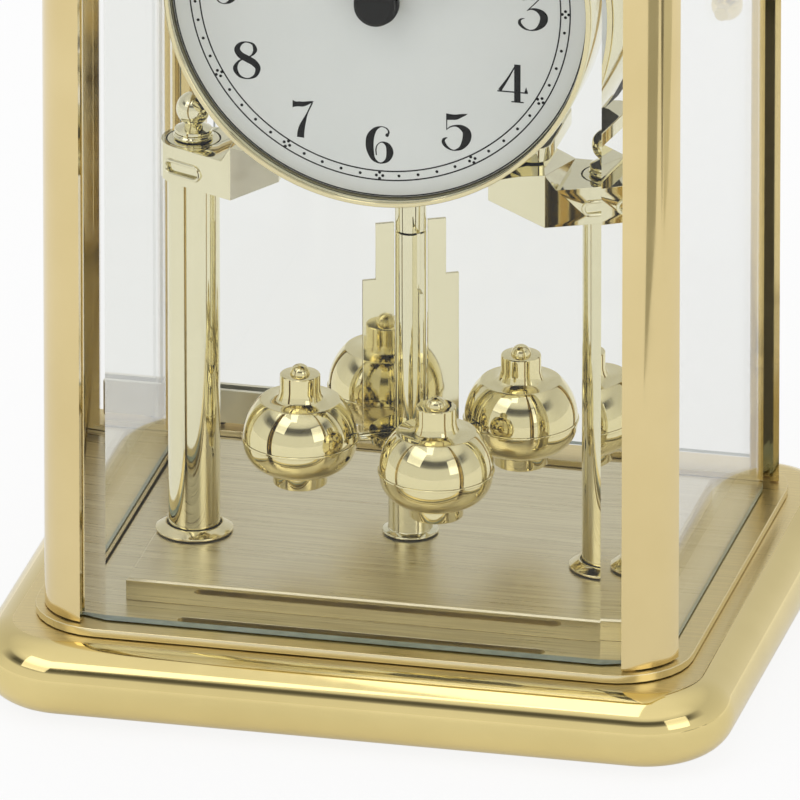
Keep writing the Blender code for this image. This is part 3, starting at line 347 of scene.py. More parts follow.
def matt(name, colour, roughness, tones=None, gloss=None, bumps=None, specular=None):
    """Paint, plastic, paper or cloth, with up to three noises that each start with their scale.

    tones goes on with a dark and a light colour, gloss with a low and a high roughness, and bumps
    with a height and a strength."""
    made, nodes, links, principled = shader(name, colour, roughness)
    if specular is not None:
        principled.inputs["Specular IOR Level"].default_value = specular
    if tones:
        tone = spread(nodes, links, noise(nodes, links, tones[0]), 0, 1)
        links.new(tint(nodes, links, tone, *tones[1:]), principled.inputs["Base Color"])
    if gloss:
        shine = spread(nodes, links, noise(nodes, links, gloss[0]), *gloss[1:])
        links.new(shine, principled.inputs["Roughness"])
    if bumps:
        relief(nodes, links, principled, noise(nodes, links, bumps[0]), *bumps[1:])
    return made


print("shader helpers ready")

# %% Metals
gold = polished("polished_gold", (0.75, 0.61, 0.265), (0.815, 0.67, 0.30), 0.06)
post_gold = polished("satin_gold", (0.72, 0.575, 0.28), (0.77, 0.625, 0.32), 0.08)
step_gold = polished("step_gold", (0.76, 0.66, 0.40), (0.82, 0.72, 0.45), 0.10)
along_x = (0.02, 1, 1)
gold_brushed = brushed("brushed_gold", (0.74, 0.60, 0.29), (0.88, 0.73, 0.37), 0.34, along_x)
plate_brushed = brushed("brushed_plate", (0.70, 0.61, 0.40), (0.95, 0.87, 0.62), 0.32, along_x)
pale = polished("pale_plate", (0.80, 0.75, 0.52), (0.87, 0.82, 0.59), 0.045, 0.1)
ball_plate = polished("ball_plate", (0.81, 0.72, 0.41), (0.88, 0.79, 0.47), 0.03, 0.1)
warm_plate = polished("warm_plate", (0.80, 0.70, 0.42), (0.86, 0.77, 0.48), 0.08)
satin_pale = polished("satin_pale", (0.82, 0.78, 0.62), (0.88, 0.84, 0.68), 0.40, 0.0)
print("metals ready")

# %% [markdown]
# ## Glass
# Clear glass is a shader that bends and mirrors rays. A renderer's lamps can't see through it, so
# the light that reaches the works would be lost. Where a ray only carries light, the pane is
# therefore a plain clear filter. The sawn edges of a pane look grey-green, because light has
# come a long way through the glass there.

# %% Glass
def clear_pane(name, colour, filter_colour, low, high):
    """Glass for sight and reflections, and a clear filter for rays that only carry light."""
    refraction, mirror_share, cloud_scale = 1.5, 0.35, 12
    made, nodes, links, principled = shader(name, colour, 0.0)
    principled.inputs["Transmission Weight"].default_value = 1.0
    principled.inputs["IOR"].default_value = refraction
    principled.inputs["Specular Tint"].default_value = (mirror_share, mirror_share, mirror_share, 1)
    gloss = spread(nodes, links, noise(nodes, links, cloud_scale), low, high)
    links.new(gloss, principled.inputs["Roughness"])
    path = nodes.new("ShaderNodeLightPath")
    carries_light = calculate(nodes, links, "MAXIMUM", path.outputs["Is Shadow Ray"],
                              path.outputs["Is Diffuse Ray"])
    clear = nodes.new("ShaderNodeBsdfTransparent")
    clear.inputs["Color"].default_value = (*filter_colour, 1)
    switch_shader(nodes, links, carries_light, principled, clear)
    return made


glass = clear_pane("clear_glass", (0.92, 0.925, 0.91), (0.97, 0.98, 0.97), 0.0, 0.004)
glass_edge = matt("glass_edge", (0.22, 0.27, 0.22), 0.3, bumps=(2000, 0.00004, 0.4),
                  tones=(400, (0.17, 0.22, 0.18), (0.27, 0.33, 0.27)))
print("glass ready")

# %% Paint, ink, plastics and felt
dial_white = matt("dial_white", (0.84, 0.85, 0.84), 0.42, bumps=(4000, 0.00001, 0.25),
                  tones=(60, (0.83, 0.845, 0.835), (0.86, 0.87, 0.86)))
ink = matt("printed_ink", (0.003, 0.003, 0.003), 0.5, gloss=(900, 0.42, 0.6), specular=0.1)
enamel = matt("black_enamel", (0.006, 0.006, 0.005), 0.3, gloss=(500, 0.24, 0.4),
              bumps=(1500, 0.00001, 0.3), specular=0.1)
plastic = matt("dark_plastic", (0.03, 0.03, 0.032), 0.5, gloss=(700, 0.42, 0.6),
               bumps=(2500, 0.00004, 0.5))
jacket = matt("battery_jacket", (0.06, 0.07, 0.09), 0.3, gloss=(300, 0.25, 0.4))
felt = matt("green_felt", (0.03, 0.07, 0.04), 0.95, bumps=(3000, 0.0001, 0.8),
            tones=(1500, (0.02, 0.05, 0.03), (0.05, 0.10, 0.06)))
print("materials:", len(bpy.data.materials))

# %% [markdown]
# ## Finishes on the pieces that keep their shape
# Every piece of the frame first takes the finish of its slot. The cells after this one then put
# a finer surface in the place of the pieces that the eye reads closely.

# %% Finishes by node
finishes = {
    "polished_brass": gold, "brushed_brass": plate_brushed, "pale_brass": pale, "clear_glass": glass,
    "silvered_dial": dial_white, "black_paint": enamel, "dark_plastic": plastic,
    "battery_jacket": jacket, "felt": felt,
}
slots = {}
for part in frame["record"]["subparts"]:
    slots[part["node"]] = part["material_slot"]
    data = frame["nodes"][part["node"]].data
    data.materials.clear()
    data.materials.append(finishes[part["material_slot"]])
print("finished nodes:", len(slots))

# %% [markdown]
# ## The base and the top
# Both mouldings are a rounded rectangle with a half-round nose. The nose is a half circle carried
# round the outline: at each angle the outline shrinks by the same inset and rises by the sine. The
# base is hollow underneath, has a recess for the floor plate, and its flat top is brushed.

# %% Base moulding
fit_gap = 0.0003
base_corner, roof_share, brushed_above = 0.018, 1.42, 0.985
low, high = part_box("base_moulding")
half_x, half_y = high[0], high[1]
nose = (high[2] - low[2]) / 2
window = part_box("floor_plate")
window_x, window_y = window[1][0] + fit_gap, window[1][1] + fit_gap
recess_z = window[0][2] - fit_gap
hollow_x, hollow_y = (v + fit_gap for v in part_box("base_cover")[1][:2])
hollow_inset = half_x - hollow_x
hollow_roof = low[2] + nose * roof_share


def nose_rings(half_x, half_y, corner, bottom, radius, steps=40):
    """Rings of a half-round edge: inset radius (1 - cos a), height bottom + radius (1 + sin a)."""
    rings = []
    for inset, z in arc((0, 0), radius, -90, 90, steps):
        inset = radius - inset
        rings.append(rounded(half_x - inset, half_y - inset, corner - inset, bottom + radius + z))
    return rings


hollow_corner = base_corner - hollow_inset
rings = [rounded(hollow_x, hollow_y, hollow_corner, z) for z in (hollow_roof, low[2])]
rings += nose_rings(half_x, half_y, base_corner, low[2], nose)
rings += [rounded(window_x, window_y, 0, z) for z in (high[2], recess_z)]
base = skin("fine_base_moulding", rings, gold, "case", ("base_moulding",))
second_finish(base, gold_brushed, lambda normal: normal[:, 2] > brushed_above)
print("base faces:", len(base.data.polygons))

# %% Top moulding and step frames
def reach_down(piece, amount):
    """Moves the lowest points of a surface down, so that it meets the piece below without a gap."""
    same_level = 0.00001
    points = np.empty(len(piece.data.vertices) * 3)
    piece.data.vertices.foreach_get("co", points)
    points = points.reshape(-1, 3)
    points[points[:, 2] < points[:, 2].min() + same_level, 2] -= amount
    piece.data.vertices.foreach_set("co", points.ravel())
    piece.data.update()


top_plate, frame_reach, level_share = 0.0035, 0.0001, 0.999
low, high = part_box("top_moulding")
nose = (high[2] - low[2]) / 2
rings = [rounded(window_x, window_y, 0, z) for z in (high[2] - top_plate, low[2])]
rings += nose_rings(high[0], high[1], base_corner, low[2], nose)
top = skin("fine_top_moulding", rings, gold, "case", ("top_moulding",))
second_finish(top, gold_brushed, lambda normal: np.abs(normal[:, 2]) > level_share)
for node in ("step_frame_lower", "step_frame_upper"):
    step = fine_copy(node, step_gold, "case", bevel=0.00025)
    second_finish(step, gold_brushed, lambda normal: np.abs(normal[:, 2]) > level_share)
    reach_down(step, frame_reach)
print("top and step frames ready")

# %% [markdown]
# ## The corner posts
# A post is drawn brass: one section all the way up. Its outside is a quarter round that is a
# little larger than the post is wide, so it meets the flats at a soft angle, and grooves on the
# inside hold the panes; the rear posts have none for the door. The finer outline repeats the
# frame's section with a smoother arc.

# %% Posts
post_width, post_round, post_leg = 0.0098, 0.013, 0.0085
pane_near, pane_far, groove_floor = 0.0023, 0.0067, 0.0076
trim = math.degrees(math.asin((post_round - post_width) / post_round))
outside = post_round - arc((0, 0), post_round, trim, 90 - trim, 40)
front_groove = [(post_width, pane_near), (groove_floor, pane_near), (groove_floor, pane_far),
                (post_width, pane_far)]
inner_corner = [(post_width, post_leg), (post_leg, post_leg)]
side_groove = [(post_leg, post_width), (pane_far, post_width), (pane_far, groove_floor),
               (pane_near, groove_floor), (pane_near, post_width)]
eased_away = outside.min()
for end, side_y, holds in (("front", -1, front_groove), ("rear", 1, [])):
    section = joined(outside, *(holds + inner_corner + side_groove))
    for hand, side_x in (("left", -1), ("right", 1)):
        node = f"post_{end}_{hand}"
        low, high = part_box(node)
        corner = (side_x * (max(abs(low[0]), abs(high[0])) + eased_away),
                  side_y * (max(abs(low[1]), abs(high[1])) + eased_away))
        x, y = corner[0] - side_x * section[:, 0], corner[1] - side_y * section[:, 1]
        rings = [np.stack([x, y, 0 * x + z], -1) for z in (low[2], high[2])]
        skin("fine_" + node, rings, post_gold, "case", (node,), sharp=25)
print("posts ready")

# %% [markdown]
# ## The panes
# The front and side panes have a wide bevel along each upright edge, and the rear door is a plain
# pane. Their faces stay as the frame has them, and only the narrow sawn edges take the grey-green.

# %% Panes
edge_share = 0.5
for node, across in (("front_pane", 1), ("left_pane", 0), ("right_pane", 0), ("door_pane", 1)):
    pane = fine_copy(node, glass, "rear_door" if node == "door_pane" else "case", sharp=1)
    second_finish(pane, glass_edge, lambda normal: np.abs(normal[:, across]) < edge_share)
print("panes ready")

# %% [markdown]
# ## The floor plate and the platform
# Both are brushed from side to side, with a thin eased edge that catches the light. The platform's
# front edge is polished, and it mirrors the long slot in the floor plate before it.

# %% Floor and platform
platform_reach, upright_share = 0.00028, 0.3
fine_copy("floor_plate", plate_brushed, "case", bevel=0.0001)
platform = fine_copy("platform_block", plate_brushed, "case", bevel=0.00012)
reach_down(platform, platform_reach)
second_finish(platform, warm_plate, lambda normal: np.abs(normal[:, 2]) < upright_share)
print("floor and platform ready")

# %% [markdown]
# ## Pillars and finials
# The pillars are plain turned rods with a low cone round the foot. Each has a finial on top: two
# rings, a neck and a ball. Every corner is eased a little, as a lathe tool leaves it. An arc that
# ends on the axis stops two degrees before it, where one straight line takes it to the middle.

# %% Pillars, flanges and finials
near_top, soft_edge, round_edge, flange_edge = 88, 0.0002, 0.0003, 0.0004
finial_ring, ring_half, finial_ball, waist = 0.0041, 0.0009, 0.0034, 0.0016
for side in ("left", "right"):
    low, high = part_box("pillar_" + side)
    centre = (*middle("pillar_" + side)[:2], 0)
    radius = (high[0] - low[0]) / 2
    rod = eased([(0, high[2]), (radius, high[2]), (radius, low[2]), (0, low[2])], soft_edge)
    turned_piece("fine_pillar_" + side, rod, centre, pale, "case", ("pillar_" + side,))

    low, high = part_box("pillar_flange_" + side)
    foot, bore = (high[0] - low[0]) / 2, radius + fit_gap
    cone = eased([(bore, high[2]), (bore + flange_edge, high[2]), (foot, low[2] + flange_edge),
                  (foot, low[2]), (bore, low[2])], 0.00012, closed=True)
    turned_piece("fine_flange_" + side, cone, centre, warm_plate, "case", ("pillar_flange_" + side,),
                 ring=True)

    low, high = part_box("finial_" + side)
    ball_z = high[2] - finial_ball
    squeeze = math.degrees(math.asin(waist / finial_ball))
    stack = [(0.5, 2.0), (0.33, 1.5), (0.5, 1.0), (0.0, 0.5), (0.33, 0.0)]
    rings = [(finial_ring - ring_half * inward, low[2] + ring_half * up) for inward, up in stack]
    ball = arc((0, ball_z), finial_ball, near_top, -90 + squeeze, 28)
    profile = joined((0, high[2]), ball, eased(rings, soft_edge), (0, low[2]))
    turned_piece("fine_finial_" + side, profile, centre, pale, "case", ("finial_" + side,), steps=64)
print("pillars ready")

# %% [markdown]
# ## Brackets, cradle and movement
# These keep the frame's shape, with merged faces and slightly eased edges. The front face of the
# left bracket's inner block, which is turned a little outwards, is satin and looks bright from any
# side, and so are the shoes of the rear door.

# %% Eased copies
satin_face, facing = (-0.31, -0.95), 0.05
for node in ("bracket_left", "bracket_right"):
    bracket = fine_copy(node, pale, "case", sharp=25, bevel=0.0002)
    second_finish(bracket, satin_pale,
                  lambda normal: np.hypot(*(normal[:, :2] - satin_face).T) < facing)
for node, bevel in (("movement_cradle", 0.0002), ("pendulum_drive", 0.0003),
                    ("movement_housing", 0.0004), ("battery_cover", 0.0002), ("base_cover", 0.0002),
                    ("battery_cell", 0.0)):
    fine_copy(node, finishes[slots[node]], "case", bevel=bevel)
fine_copy("setting_knob", plastic, "setting_knob", bevel=0.00015)
fine_copy("door_knob", gold, "rear_door", bevel=0.0001)
for node in ("door_shoe_lower", "door_shoe_upper"):
    fine_copy(node, satin_pale, "rear_door", bevel=0.0001)
for i in range(1, 5):
    fine_copy(f"felt_foot_{i}", felt, "case")
print("eased copies ready")

# %% [markdown]
# On the round end of each bracket a long oval is sunk in the face, with a raised bead round it. The
# bead is a thin tube bent along the oval, first round the ear and then along the flat front, which
# is the line from the corner of the bracket's block that just touches the ear's circle.

# %% Beads round the bracket slots
ear, block_aside, block_ahead = 0.0064, 0.0102, 0.0118
slot_half, slot_tall, slot_angle, slot_rise = 0.00435, 0.0014, -96, 0.0034
bead_radius, bead_steps = 0.0004, 12
block_distance = math.hypot(block_aside, block_ahead)
front_angle = math.degrees(math.atan2(-block_ahead, block_aside) - math.acos(ear / block_distance))
slot_middle = math.radians(slot_angle - front_angle) * ear
for side, sign in (("left", -1), ("right", 1)):
    node = "bracket_" + side
    rod = middle("pillar_" + side)
    flat = slot_half - slot_tall
    half_oval = arc((flat, 0), slot_tall, -90, 90, bead_steps)
    oval = np.concatenate([half_oval, -half_oval])
    run = slot_middle + oval[:, 0]
    angle = math.radians(front_angle) + np.minimum(run, 0) / ear
    along = np.maximum(run, 0)
    out = np.stack([np.cos(angle), np.sin(angle)], -1)
    foot = ear * out + np.stack([-out[:, 1], out[:, 0]], -1) * along[:, None]
    path = np.stack([-sign * foot[:, 0], foot[:, 1], oval[:, 1]], -1)
    out = np.stack([-sign * out[:, 0], out[:, 1], 0 * angle], -1)
    ahead = np.roll(path, -1, 0) - np.roll(path, 1, 0)
    across = np.cross(ahead, out)
    across /= np.linalg.norm(across, axis=1)[:, None]
    a = np.linspace(0, 2 * np.pi, bead_steps, endpoint=False)[None, :, None]
    tube = path[:, None] + bead_radius * (np.cos(a) * out[:, None] + np.sin(a) * across[:, None])
    tube = np.concatenate([tube, tube[:1]]) + (rod[0], rod[1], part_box(node)[0][2] + slot_rise)
    faces = grid_faces(len(tube), bead_steps).tolist()
    surface(f"bead_{side}", tube.reshape(-1, 3), faces, pale, "case")
print("beads ready")

# %% [markdown]
# ## Dial, bezel and drum
# The drum is a short can behind the dial, and the bezel is the thin ring in front of it. All are
# turned about an axis that runs from front to back through the hands.

# %% Dial, bezel and drum
dial_low, dial_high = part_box("dial")
dial_radius = (dial_high[2] - dial_low[2]) / 2
dial_centre = (0, 0, middle("dial")[2])
dial_front, dial_back = dial_low[1], dial_high[1]
hole, bezel_gap, drum_wall = 0.0024, 0.0002, 0.001
disc = eased([(hole, dial_front), (dial_radius, dial_front), (dial_radius, dial_back),
              (hole, dial_back)], 0.0001, closed=True)
turned_piece("fine_dial", disc, dial_centre, dial_white, "case", ("dial",), "y", 128, ring=True)

low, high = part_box("bezel")
outer, inner = (high[2] - low[2]) / 2, dial_radius + bezel_gap
hoop = [(inner, low[1]), (outer, low[1]), (outer, high[1]), (inner, high[1])]
turned_piece("fine_bezel", eased(hoop, round_edge, closed=True), dial_centre, warm_plate, "case",
             ("bezel",), "y", 128, ring=True)

low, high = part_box("movement_drum")
outer, inner = (high[2] - low[2]) / 2, dial_radius + fit_gap
plate = dial_back + fit_gap
can = [(inner, low[1]), (outer, low[1]), (outer, high[1]), (inner, high[1]),
       (inner, plate + drum_wall), (hole, plate + drum_wall), (hole, plate), (inner, plate)]
turned_piece("fine_movement_drum", eased(can, soft_edge, closed=True), dial_centre, pale, "case",
             ("movement_drum",), "y", 128, ring=True)

low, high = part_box("dial_nut")
outer = (high[2] - low[2]) / 2
nut = [(hole, low[1]), (outer, low[1]), (outer, high[1]), (hole, high[1])]
turned_piece("fine_dial_nut", eased(nut, soft_edge, closed=True), dial_centre, pale, "case",
             ("dial_nut",), "y", 48, ring=True)
for node in ("hour_hand", "minute_hand"):
    fine_copy(node, enamel, node, bevel=0.0001)
print("dial radius in mm:", round(dial_radius * 1000, 2))

# %% [markdown]
# ## The print on the dial
# The print is a minute track of two circles with a dot for each minute, four dots at each hour,
# and upright numerals with strong thick and thin strokes. A third thin circle of ink at the dial's
# edge is painted shadow, standing for the dark gap between the dial and the bezel. Ink has a
# little height, so each mark is a very thin closed slab that stands on the dial's face.

# %% Slabs of ink
ink_height = 0.00003
ink_root = 0.00001


def ink_slabs(strips):
    """Points and faces of thin slabs; a strip is its left and right edge, in x and z, and closed."""
    points, faces, count = [], [], 0
    for left, right, closed in strips:
        front, back = dial_front - ink_height, dial_front + ink_root
        section = np.stack([
            np.insert(left, 1, front, 1), np.insert(right, 1, front, 1),
            np.insert(right, 1, back, 1), np.insert(left, 1, back, 1)], 1)
        if closed:
            section = np.concatenate([section, section[:1]])
        rows = len(section)
        points.append(section.reshape(-1, 3))
        faces += (grid_faces(rows, 4) + count).tolist()
        if not closed:
            end = count + (rows - 1) * 4
            faces += [[count + 3, count + 2, count + 1, count], [end, end + 1, end + 2, end + 3]]
        count += rows * 4
    return np.concatenate(points) + (0, 0, dial_centre[2]), faces


def circle_line(radius, width, steps=180):
    """A closed strip along a circle about the dial's centre."""
    a = np.linspace(0, 2 * np.pi, steps, endpoint=False)
    ray = np.stack([np.sin(a), np.cos(a)], -1)
    return ray * (radius - width / 2), ray * (radius + width / 2), True


def dot(centre, radius, steps=8):
    """A round dot as an open strip: its left half and its right half, which don't quite touch."""
    short_of_end = 0.02
    a = np.linspace(short_of_end, np.pi - short_of_end, steps)
    half = np.stack([np.sin(a), np.cos(a)], -1) * radius
    return centre - half * (1, -1), centre + half, False


track_inner, track_outer, line_width, gap_shadow_inset = 0.0363, 0.0382, 0.00028, 0.00025
dot_radius, cluster = 0.00031, 0.00064
track_middle = (track_inner + track_outer) / 2
# The third circle, just inside the dial's edge, is painted shadow: a ring of ink for the dark gap
# between the dial and the bezel.
circles = (track_inner, track_outer, dial_radius - gap_shadow_inset)
strips = [circle_line(radius, line_width) for radius in circles]
for minute in range(60):
    angle = math.radians(6 * minute)
    out = np.array([math.sin(angle), math.cos(angle)])
    along = np.array([out[1], -out[0]])
    place = out * track_middle
    if minute % 5:
        strips.append(dot(place, dot_radius))
    else:
        strips += [dot(place + step * cluster, dot_radius) for step in (out, -out, along, -along)]
points, faces = ink_slabs(strips)
track = surface("dial_track", points, faces, ink, "case")
print("marks on the track:", len(strips))

# %% [markdown]
# ## The numerals
# A stroke of a numeral is a smooth line with a changing width, like the mark of a broad pen held
# upright: hairlines where it runs across, and full weight where it runs down. Each row gives a
# point of the stroke and half its width there, in hundredths of the numeral's height. The 0 and
# the 8 are one closed stroke each, and the 9 is the 6 turned over.

# %% Strokes of the numerals
def stroke(rows, closed=False, steps=8):
    """A strip along a smooth line through rows of x, y and half width.

    Between points b and c, with a before and d after, the line is b + t (c - a) / 2 + t^2 (a - 2.5 b
    + 2 c - d / 2) + t^3 (1.5 (b - c) + (d - a) / 2). The edges lie half a width to each side."""
    thinnest = 0.15
    p = np.asarray(rows, float)
    if closed:
        a, b, c, d = np.roll(p, 1, 0), p, np.roll(p, -1, 0), np.roll(p, -2, 0)
    else:
        whole = np.concatenate([2 * p[:1] - p[1:2], p, 2 * p[-1:] - p[-2:-1]])
        a, b, c, d = whole[:-3], whole[1:-2], whole[2:-1], whole[3:]
    t = np.linspace(0, 1, steps, endpoint=False)[None, :, None]
    a, b, c, d = (v[:, None] for v in (a, b, c, d))
    bend, twist = a - 2.5 * b + 2 * c - d / 2, 1.5 * (b - c) + (d - a) / 2
    line = (b + t * (c - a) / 2 + t ** 2 * bend + t ** 3 * twist).reshape(-1, 3)
    if closed:
        run = np.roll(line, -1, 0) - np.roll(line, 1, 0)
    else:
        line = np.concatenate([line, p[-1:]])
        run = np.gradient(line, axis=0)
    run = run[:, :2] / np.linalg.norm(run[:, :2], axis=1)[:, None]
    side = np.stack([-run[:, 1], run[:, 0]], -1) * np.maximum(line[:, 2:], thinnest)
    return line[:, :2] + side, line[:, :2] - side, closed


top_flag = [(-26, 37, 9.5), (-17, 37, 6.5), (-9, 38, 6.5), (-1, 38, 6.5), (9, 41, 5), (19, 45, 2.9),
            (27, 48, 0.4)]
six = [(22, 30, 2.6), (23, 37, 2.1), (17, 45, 1.6), (4, 48, 1.3), (-11, 40, 5), (-22, 22, 9.2),
       (-25, 2, 10), (-23, -18, 8.9), (-15, -39, 5), (2, -48, 1.6), (19, -39, 5.3), (26, -19, 8.9),
       (22, -2, 6.8), (13, 6, 3.2), (4, 7, 1.3), (-5, 0, 1.3), (-9, -12, 1.6), (-8, -28, 1.6)]
numeral_strokes = {
    "0": [[(0, 48.5, 1.4), (-16, 38, 5), (-22, 0, 9), (-16, -38, 5), (0, -48.5, 1.4), (16, -38, 5),
           (22, 0, 9), (16, 38, 5)]],
    "1": [[(2, 50, 8), (2, -47, 8)], [(-16, -48.5, 1.6), (20, -48.5, 1.6)],
          [(-17, 32, 0.5), (-9, 37, 2.2), (0, 48, 3)]],
    "2": [[(-19, 22, 3), (-23, 31, 3), (-16, 43, 2), (-1, 48.3, 1.6), (14, 42, 6), (19, 26, 9.5),
           (11, 8, 8), (-4, -12, 4), (-20, -32, 2), (-28, -47, 1.2)],
          [(-28, -44, 4.5), (-12, -41, 6.5), (6, -44, 5.5), (20, -43, 3.4), (27, -34, 1.4),
           (30, -27, 0.4)]],
    "3": [top_flag, [(24, 45, 1.5), (4, 22, 1.3), (-15, 2, 1.1)],
          [(-16, 2, 0.8), (-4, 7, 2), (10, 5, 4.7), (22, -3, 8.3), (27, -15, 10), (22, -31, 8.3),
           (8, -45, 3.5), (-8, -49, 1.4), (-22, -45, 2.8), (-33, -35, 4), (-34, -26, 3.3),
           (-29, -21, 1.8), (-22, -19, 0.6)]],
    "4": [[(12, 50, 8), (12, -47, 8)], [(-3, -48.5, 1.6), (28, -48.5, 1.6)],
          [(7, 47, 1.3), (-11, 13, 2.6), (-32, -21, 4.6)], [(-38, -23, 1.7), (38, -23, 1.7)],
          [(34, -8, 0.4), (34, -15, 2.4), (34, -23, 5)]],
    "5": [[(-24, 4, 0.8), (-15, 12, 1.6), (-1, 16, 2.4), (13, 13, 6.5), (25, 3, 10.2), (27, -11, 11),
           (22, -27, 9.1), (11, -42, 4.8), (-6, -49, 1.5), (-21, -44, 3), (-31, -33, 4.6),
           (-32, -24, 3.8), (-27, -19, 2.2), (-22, -17, 0.5)],
          [(-24, 38, 8.6), (-12, 38, 7.3), (0, 39, 6.7), (13, 44, 4.3), (22, 47, 2.2), (28, 50, 0.3)],
          [(-24, 46, 1.5), (-24, 26, 1.4), (-24, 3, 1.1)]],
    "6": [six],
    "7": [top_flag, [(24, 45, 1.9), (11, 15, 1.9), (3, -6, 5), (-2, -21, 7.4), (-5, -36, 8.6),
                     (-6, -50, 9)]],
    "8": [[(-2, 48, 1.5), (-17, 41, 4.6), (-24, 27, 7.4), (-16, 13, 8.6), (1, 4, 9), (18, -5, 8.6),
           (28, -19, 6.8), (21, -39, 4.2), (2, -48, 1.5), (-18, -43, 3.4), (-29, -25, 5.8),
           (-23, -8, 3.2), (-11, 2, 1.8), (10, 12, 1.9), (18, 21, 3.8), (21, 31, 5.2), (15, 44, 3)]],
    "9": [[(-x, -y, half_width) for x, y, half_width in six]],
}
closed_digits = "08"
ball_ends = {"2": (-18, 24, 5), "6": (19, 27, 4.6), "9": (-19, -27, 4.6)}
print("numerals drawn:", len(numeral_strokes))

# %% Numerals in their places
numeral_height, numeral_ring, pair_step = 0.0080, 0.0308, 54
scale = numeral_height / 100
strips = []
for hour in range(1, 13):
    angle = math.radians(30 * hour)
    centre = np.array([math.sin(angle), math.cos(angle)]) * numeral_ring
    digits = str(hour)
    for i, digit in enumerate(digits):
        shift = centre + (scale * pair_step * (i - (len(digits) - 1) / 2), 0)
        for rows in numeral_strokes[digit]:
            left, right, closed = stroke(rows, digit in closed_digits)
            strips.append((left * scale + shift, right * scale + shift, closed))
        if digit in ball_ends:
            x, y, size = ball_ends[digit]
            strips.append(dot(shift + np.array([x, y]) * scale, size * scale))
points, faces = ink_slabs(strips)
numerals = surface("dial_numerals", points, faces, ink, "case")
print("strokes of ink:", len(strips))

# %% [markdown]
# ## The pendulum
# A tube hangs under the movement's sleeve. It carries four upright fins and a hub whose thin arms
# reach the balls. A ball is two pressed halves: a dome with a flat shoulder, a neck and a cap
# above, and a full, flattened bowl with a bright lip at the seam below.

# %% Tube, sleeve, hub and guide cup
axis_xy = tuple(middle("pendulum_tube")[:2])
axis = (*axis_xy, 0)
sleeve_low, sleeve_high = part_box("suspension_sleeve")
tube_radius, sleeve_bore, spindle = 0.0031, 0.0020, 0.0012
sleeve = [(sleeve_bore, sleeve_high[2]), (tube_radius, sleeve_high[2]), (tube_radius, sleeve_low[2]),
          (sleeve_bore, sleeve_low[2])]
turned_piece("fine_suspension_sleeve", eased(sleeve, soft_edge, closed=True), axis, pale, "case",
             ("suspension_sleeve",), ring=True)

low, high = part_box("pendulum_tube")
tube_top = sleeve_low[2] - fit_gap
tube = [(0, high[2]), (spindle, high[2]), (spindle, tube_top), (tube_radius, tube_top),
        (tube_radius, low[2]), (0, low[2])]
turned_piece("fine_pendulum_tube", eased(tube, soft_edge), axis, pale, "pendulum", ("pendulum_tube",))
fine_copy("pendulum_hub", pale, "pendulum")
for i in range(1, 5):
    fine_copy(f"fin_{i}", pale, "pendulum", bevel=0.0001)

low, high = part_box("guide_cup")
cup, cup_wall, flange, flange_tall = 0.0044, 0.0010, 0.0056, 0.0008
profile = [(0, low[2] + cup_wall), (cup - cup_wall, low[2] + cup_wall), (cup - cup_wall, high[2]),
           (cup, high[2]), (cup, low[2] + flange_tall), (flange, low[2] + flange_tall / 2),
           (flange, low[2]), (0, low[2])]
turned_piece("fine_guide_cup", eased(profile, soft_edge), axis, pale, "case", ("guide_cup",))
print("pendulum's axis in mm:", [round(v * 1000, 2) for v in axis_xy])

# %% Balls
ball_radius, shoulder_radius, neck_radius, neck_height = 0.0113, 0.0079, 0.0052, 0.0022
cap_radius, cap_height, cap_edge, button_radius = 0.0040, 0.0032, 0.0004, 0.0020
bowl_depth, bowl_fullness, foot_radius, foot_drop = 0.0077, 2.5, 0.0054, 0.0096
seam_lip, lip_height, lip_rise, lip_edge = 0.00022, 0.0005, 0.0001, 0.00018


def cap_profile(seam):
    """The upper half: a circle up to the shoulder, a flared neck, a cap and a round button."""
    above_seam = 0.7
    rise = math.degrees(math.acos(shoulder_radius / ball_radius))
    shoulder = ball_radius * math.sin(math.radians(rise))
    neck_top = shoulder + neck_height
    cap_top = neck_top + cap_height
    flare = [(1.0, 0.0), (0.42, 0.16), (0.18, 0.45), (0.0, 1.0)]
    widening = neck_radius - cap_radius
    neck = [(cap_radius + widening * out, shoulder + neck_height * up) for out, up in flare]
    button = arc((0, cap_top), button_radius, near_top, 0, 14)
    cap = eased([(button_radius, cap_top), (cap_radius, cap_top), neck[-1]], cap_edge)[1:-1]
    dome = arc((0, 0), ball_radius, rise, above_seam, 26)
    edge = eased([neck[0], dome[0], dome[1]], round_edge)
    profile = joined((0, cap_top + button_radius), button, cap, neck[::-1], edge[:-1], dome[1:],
                     (0, dome[-1][1]))
    return profile + (0, seam)


def bowl_profile(seam):
    """The lower half: a lip at the seam, a bowl and a short round foot.

    The bowl is an ellipse whose cosine and sine are raised to the power 2 / fullness."""
    below_seam = 0.02
    power = 2 / bowl_fullness
    last = math.acos((foot_radius / ball_radius) ** (1 / power))
    a = np.linspace(below_seam, last, 28)
    bowl = np.stack([ball_radius * np.cos(a) ** power, -bowl_depth * np.sin(a) ** power], -1)
    lip_low = lip_rise - lip_height
    rim = eased([(0, lip_rise), (ball_radius + seam_lip, lip_rise), (ball_radius + seam_lip, lip_low),
                 (ball_radius, lip_low)], lip_edge)
    foot = eased([bowl[-1], (foot_radius, -foot_drop), (0, -foot_drop)], round_edge)
    return joined(rim, bowl[bowl[:, 1] < lip_low], foot[1:]) + (0, seam)


for i in range(1, 5):
    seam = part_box(f"ball_cap_{i}")[0][2] - fit_gap / 2
    centre = (*middle(f"ball_cap_{i}")[:2], 0)
    for half, profile in (("cap", cap_profile(seam)), ("bowl", bowl_profile(seam))):
        node = f"ball_{half}_{i}"
        turned_piece("fine_" + node, profile, centre, ball_plate, "pendulum", (node,))
print("balls ready")

# %% [markdown]
# ## Floor and light
# The clock was photographed on white. A wide pale floor takes its shadow, and is lifted towards
# white where the camera, a mirror or the glass sees it, and in a mirror more so the further it is
# from the clock. The sky is soft and bright overhead, with a darker band in front of the clock,
# which gives polished brass its dark line under a bright one.

